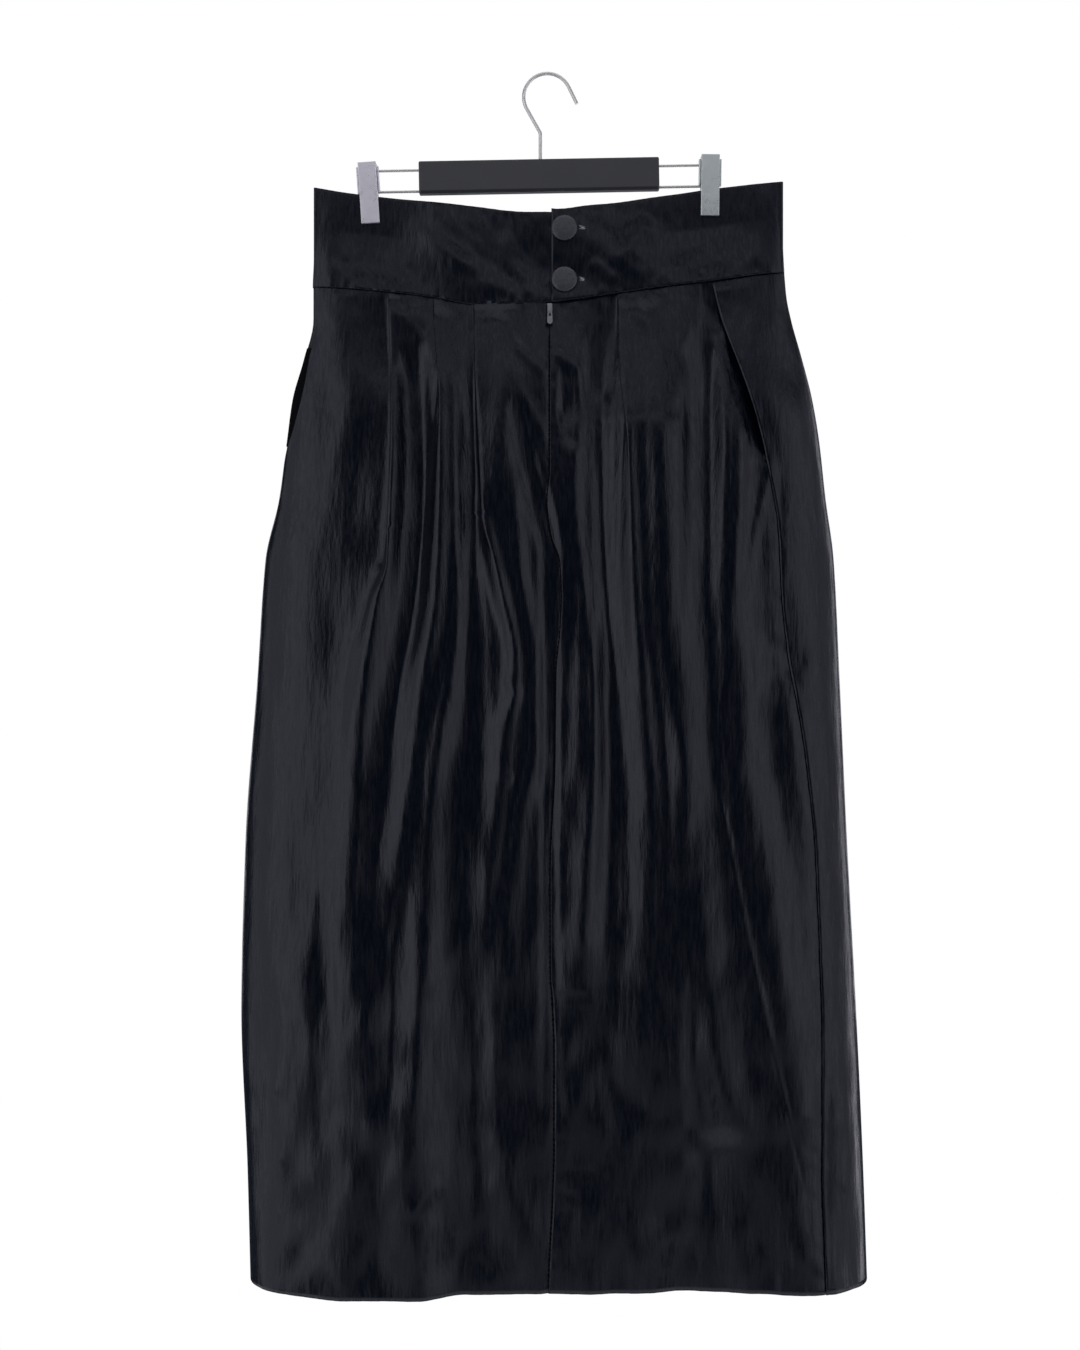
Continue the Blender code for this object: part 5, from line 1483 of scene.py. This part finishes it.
def build_wire(name, points, radius, material):
    """Round wire along a line of points."""
    path = bpy.data.curves.new(name, "CURVE")
    path.dimensions = "3D"
    path.bevel_depth = radius * MM
    path.bevel_resolution = WIRE_ROUND
    path.use_fill_caps = True
    spline = path.splines.new("POLY")
    spline.points.add(len(points) - 1)
    for point, place in zip(spline.points, points):
        point.co = (*(place * MM), 1)
    spline.use_smooth = True
    return add_piece(name, path, material)


def metal_material(name, colour, roughness, scratch, metallic):
    """Worn bright metal: fine scratches along it, cloudy patches of polish."""
    material, tree, surface = new_material(name, colour, roughness, metallic)
    scratches = stretched_noise(tree, *METAL_SCRATCHES)
    clouds = stretched_noise(tree, *METAL_CLOUDS)
    low, high = METAL_POLISH
    tree.links.new(ranged(tree, clouds, roughness * low, roughness * high), surface.inputs["Roughness"])
    shade = tuple(c * METAL_SHADE for c in colour)
    tree.links.new(colour_between(tree, clouds, shade, colour), surface.inputs["Base Color"])
    add_bump(tree, surface, scratches, scratch, METAL_DEPTH)
    return material


def plastic_material(name, colour, roughness):
    """Soft-touch moulded plastic: a fine even grain, faint rubbed marks."""
    material, tree, surface = new_material(name, colour, roughness)
    grain = stretched_noise(tree, *PLASTIC_GRAIN)
    rubbed = stretched_noise(tree, *PLASTIC_RUBBED)
    low, high = PLASTIC_POLISH
    tree.links.new(ranged(tree, rubbed, roughness + low, roughness + high), surface.inputs["Roughness"])
    lighter = tuple(c * PLASTIC_LIGHTER for c in colour)
    tree.links.new(colour_between(tree, rubbed, colour, lighter), surface.inputs["Base Color"])
    add_bump(tree, surface, grain, *PLASTIC_BUMP)
    return material


def yarn_material(name, colour, roughness, noise, lighter, bump, specular):
    """Twisted sewing thread or dull woven cloth: a fine even noise in its colour and surface."""
    material, tree, surface = new_material(name, colour, roughness)
    weave = stretched_noise(tree, *noise)
    light = tuple(c * lighter for c in colour)
    tree.links.new(colour_between(tree, weave, colour, light), surface.inputs["Base Color"])
    set_inputs(surface, {"Specular IOR Level": specular})
    add_bump(tree, surface, weave, *bump)
    return material


def area_light(name, place, target, size, power):
    """Soft rectangular light that faces a target."""
    data = bpy.data.lights.new(name, "AREA")
    data.shape = "RECTANGLE"
    data.size, data.size_y = size
    data.energy = power
    data.color = LIGHT_COLOUR
    thing = bpy.data.objects.new(name, data)
    bpy.context.scene.collection.objects.link(thing)
    thing.location = Vector(place)
    thing.rotation_euler = (Vector(target) - Vector(place)).to_track_quat("-Z", "Y").to_euler()
    thing.visible_camera = False


def build_studio():
    """Camera, pale floor, plain white surroundings and soft lights."""
    scene = bpy.context.scene
    camera = bpy.data.objects.new("camera", bpy.data.cameras.new("camera"))
    scene.collection.objects.link(camera)
    scene.camera = camera
    camera.location = (CAMERA_X * MM, -CAMERA_AWAY * MM, CAMERA_Z * MM)
    camera.rotation_euler = (math.pi / 2, 0, 0)
    camera.data.sensor_width = SENSOR
    camera.data.lens = SENSOR * CAMERA_AWAY / FRAME_HEIGHT
    world = bpy.data.worlds.new("studio")
    scene.world = world
    world.use_nodes = True
    tree = world.node_tree
    seen = tree.nodes.new("ShaderNodeBackground")
    fill = tree.nodes["Background"]
    set_inputs(seen, {"Color": WHITE, "Strength": 1.0})
    set_inputs(fill, {"Color": FILL_COLOUR, "Strength": FILL_STRENGTH})
    rays = tree.nodes.new("ShaderNodeLightPath")
    either = tree.nodes.new("ShaderNodeMixShader")
    tree.links.new(rays.outputs["Is Camera Ray"], either.inputs["Fac"])
    tree.links.new(fill.outputs["Background"], either.inputs[1])
    tree.links.new(seen.outputs["Background"], either.inputs[2])
    tree.links.new(either.outputs["Shader"], tree.nodes["World Output"].inputs["Surface"])
    bpy.ops.mesh.primitive_circle_add(
        vertices=FLOOR_SIDES, radius=FLOOR_RADIUS, fill_type="NGON", location=(0, 0, FLOOR_Z)
    )
    floor = bpy.context.object
    floor.name = "floor"
    pale, _, surface = new_material("floor_pale", FLOOR_COLOUR, FLOOR_ROUGHNESS)
    set_inputs(surface, {"Emission Color": WHITE, "Emission Strength": FLOOR_GLOW})
    floor.data.materials.append(pale)
    for name, azimuth, distance, height, size, radiance in LIGHTS:
        turn = math.radians(azimuth)
        place = (math.sin(turn) * distance, -math.cos(turn) * distance, height)
        target = (0, 0, height + TARGET_RISE.get(name, 0))
        area_light(name, place, target, size, radiance * math.pi * size[0] * size[1])
    scene.view_settings.view_transform = "Standard"
    scene.view_settings.look = "None"


def main():
    """Build the looks on the frame."""
    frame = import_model()
    nodes = frame["nodes"]
    build_studio()
    satin = satin_material("satin_black", PANEL_GRAIN)
    band_satin = satin_material("satin_black_band", BAND_GRAIN)
    left = add_shell(build_back_left(satin), SHELL)
    right = add_shell(build_back_right(satin), SHELL)
    front = add_shell(build_front(satin), SHELL)
    band_front, band_left, band_right = (add_shell(band, SHELL) for band in build_bands(band_satin))
    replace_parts(left, "skirt_back_left")
    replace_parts(right, "skirt_back_right")
    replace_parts(front, "skirt_front")
    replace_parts(band_front, "waistband_front")
    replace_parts(band_left, "waistband_back_left")
    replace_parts(band_right, "waistband_back_right")
    metals = {name: metal_material(name, *finish) for name, finish in METALS.items()}
    plastics = {name: plastic_material(name, *finish) for name, finish in PLASTICS.items()}
    yarns = {name: yarn_material(name, colour, *kind) for name, (colour, kind) in YARNS.items()}
    covered = satin_material("button_cloth", BUTTON_GRAIN, BUTTON_SHADES)
    for name, z in BUTTON_Z.items():
        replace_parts(build_button("covered_" + name, z, covered), name)
        hole = name.replace("button", "buttonhole")
        build_buttonhole(hole, z, yarns["thread_black"], yarns["thread_pale"])
    build_tack(yarns["thread_black"])
    add_shell(build_pocket_facing_shade(yarns["facing_shade_cloth"]), FACING_SHELL)
    build_seam_shade_line(yarns["seam_shade_thread"])
    build_bar_shadow_trim(plastics["bar_shadow_strip"])
    hook = build_wire("hook_wire", hook_points(), HOOK_WIRE, metals["nickel_wire"])
    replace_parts(hook, "hanger_hook")
    for side in CLIPS:
        rail = build_wire(f"rail_wire_{side}", wire_points(side), RAIL_RADIUS, metals["steel_rail"])
        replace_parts(rail, f"hanger_rail_{side}")
    looks = {"zip": metals["zip_metal"], "hanger_bar": plastics["soft_touch_bar"]}
    for name in nodes:
        if name.startswith("clip"):
            side = name.rsplit("_", 1)[-1]
            looks[name] = metals[f"clip_metal_{side}"]
    for name, node in nodes.items():
        for start, material in looks.items():
            if name.startswith(start):
                for slot in node.material_slots:
                    slot.material = material


main()
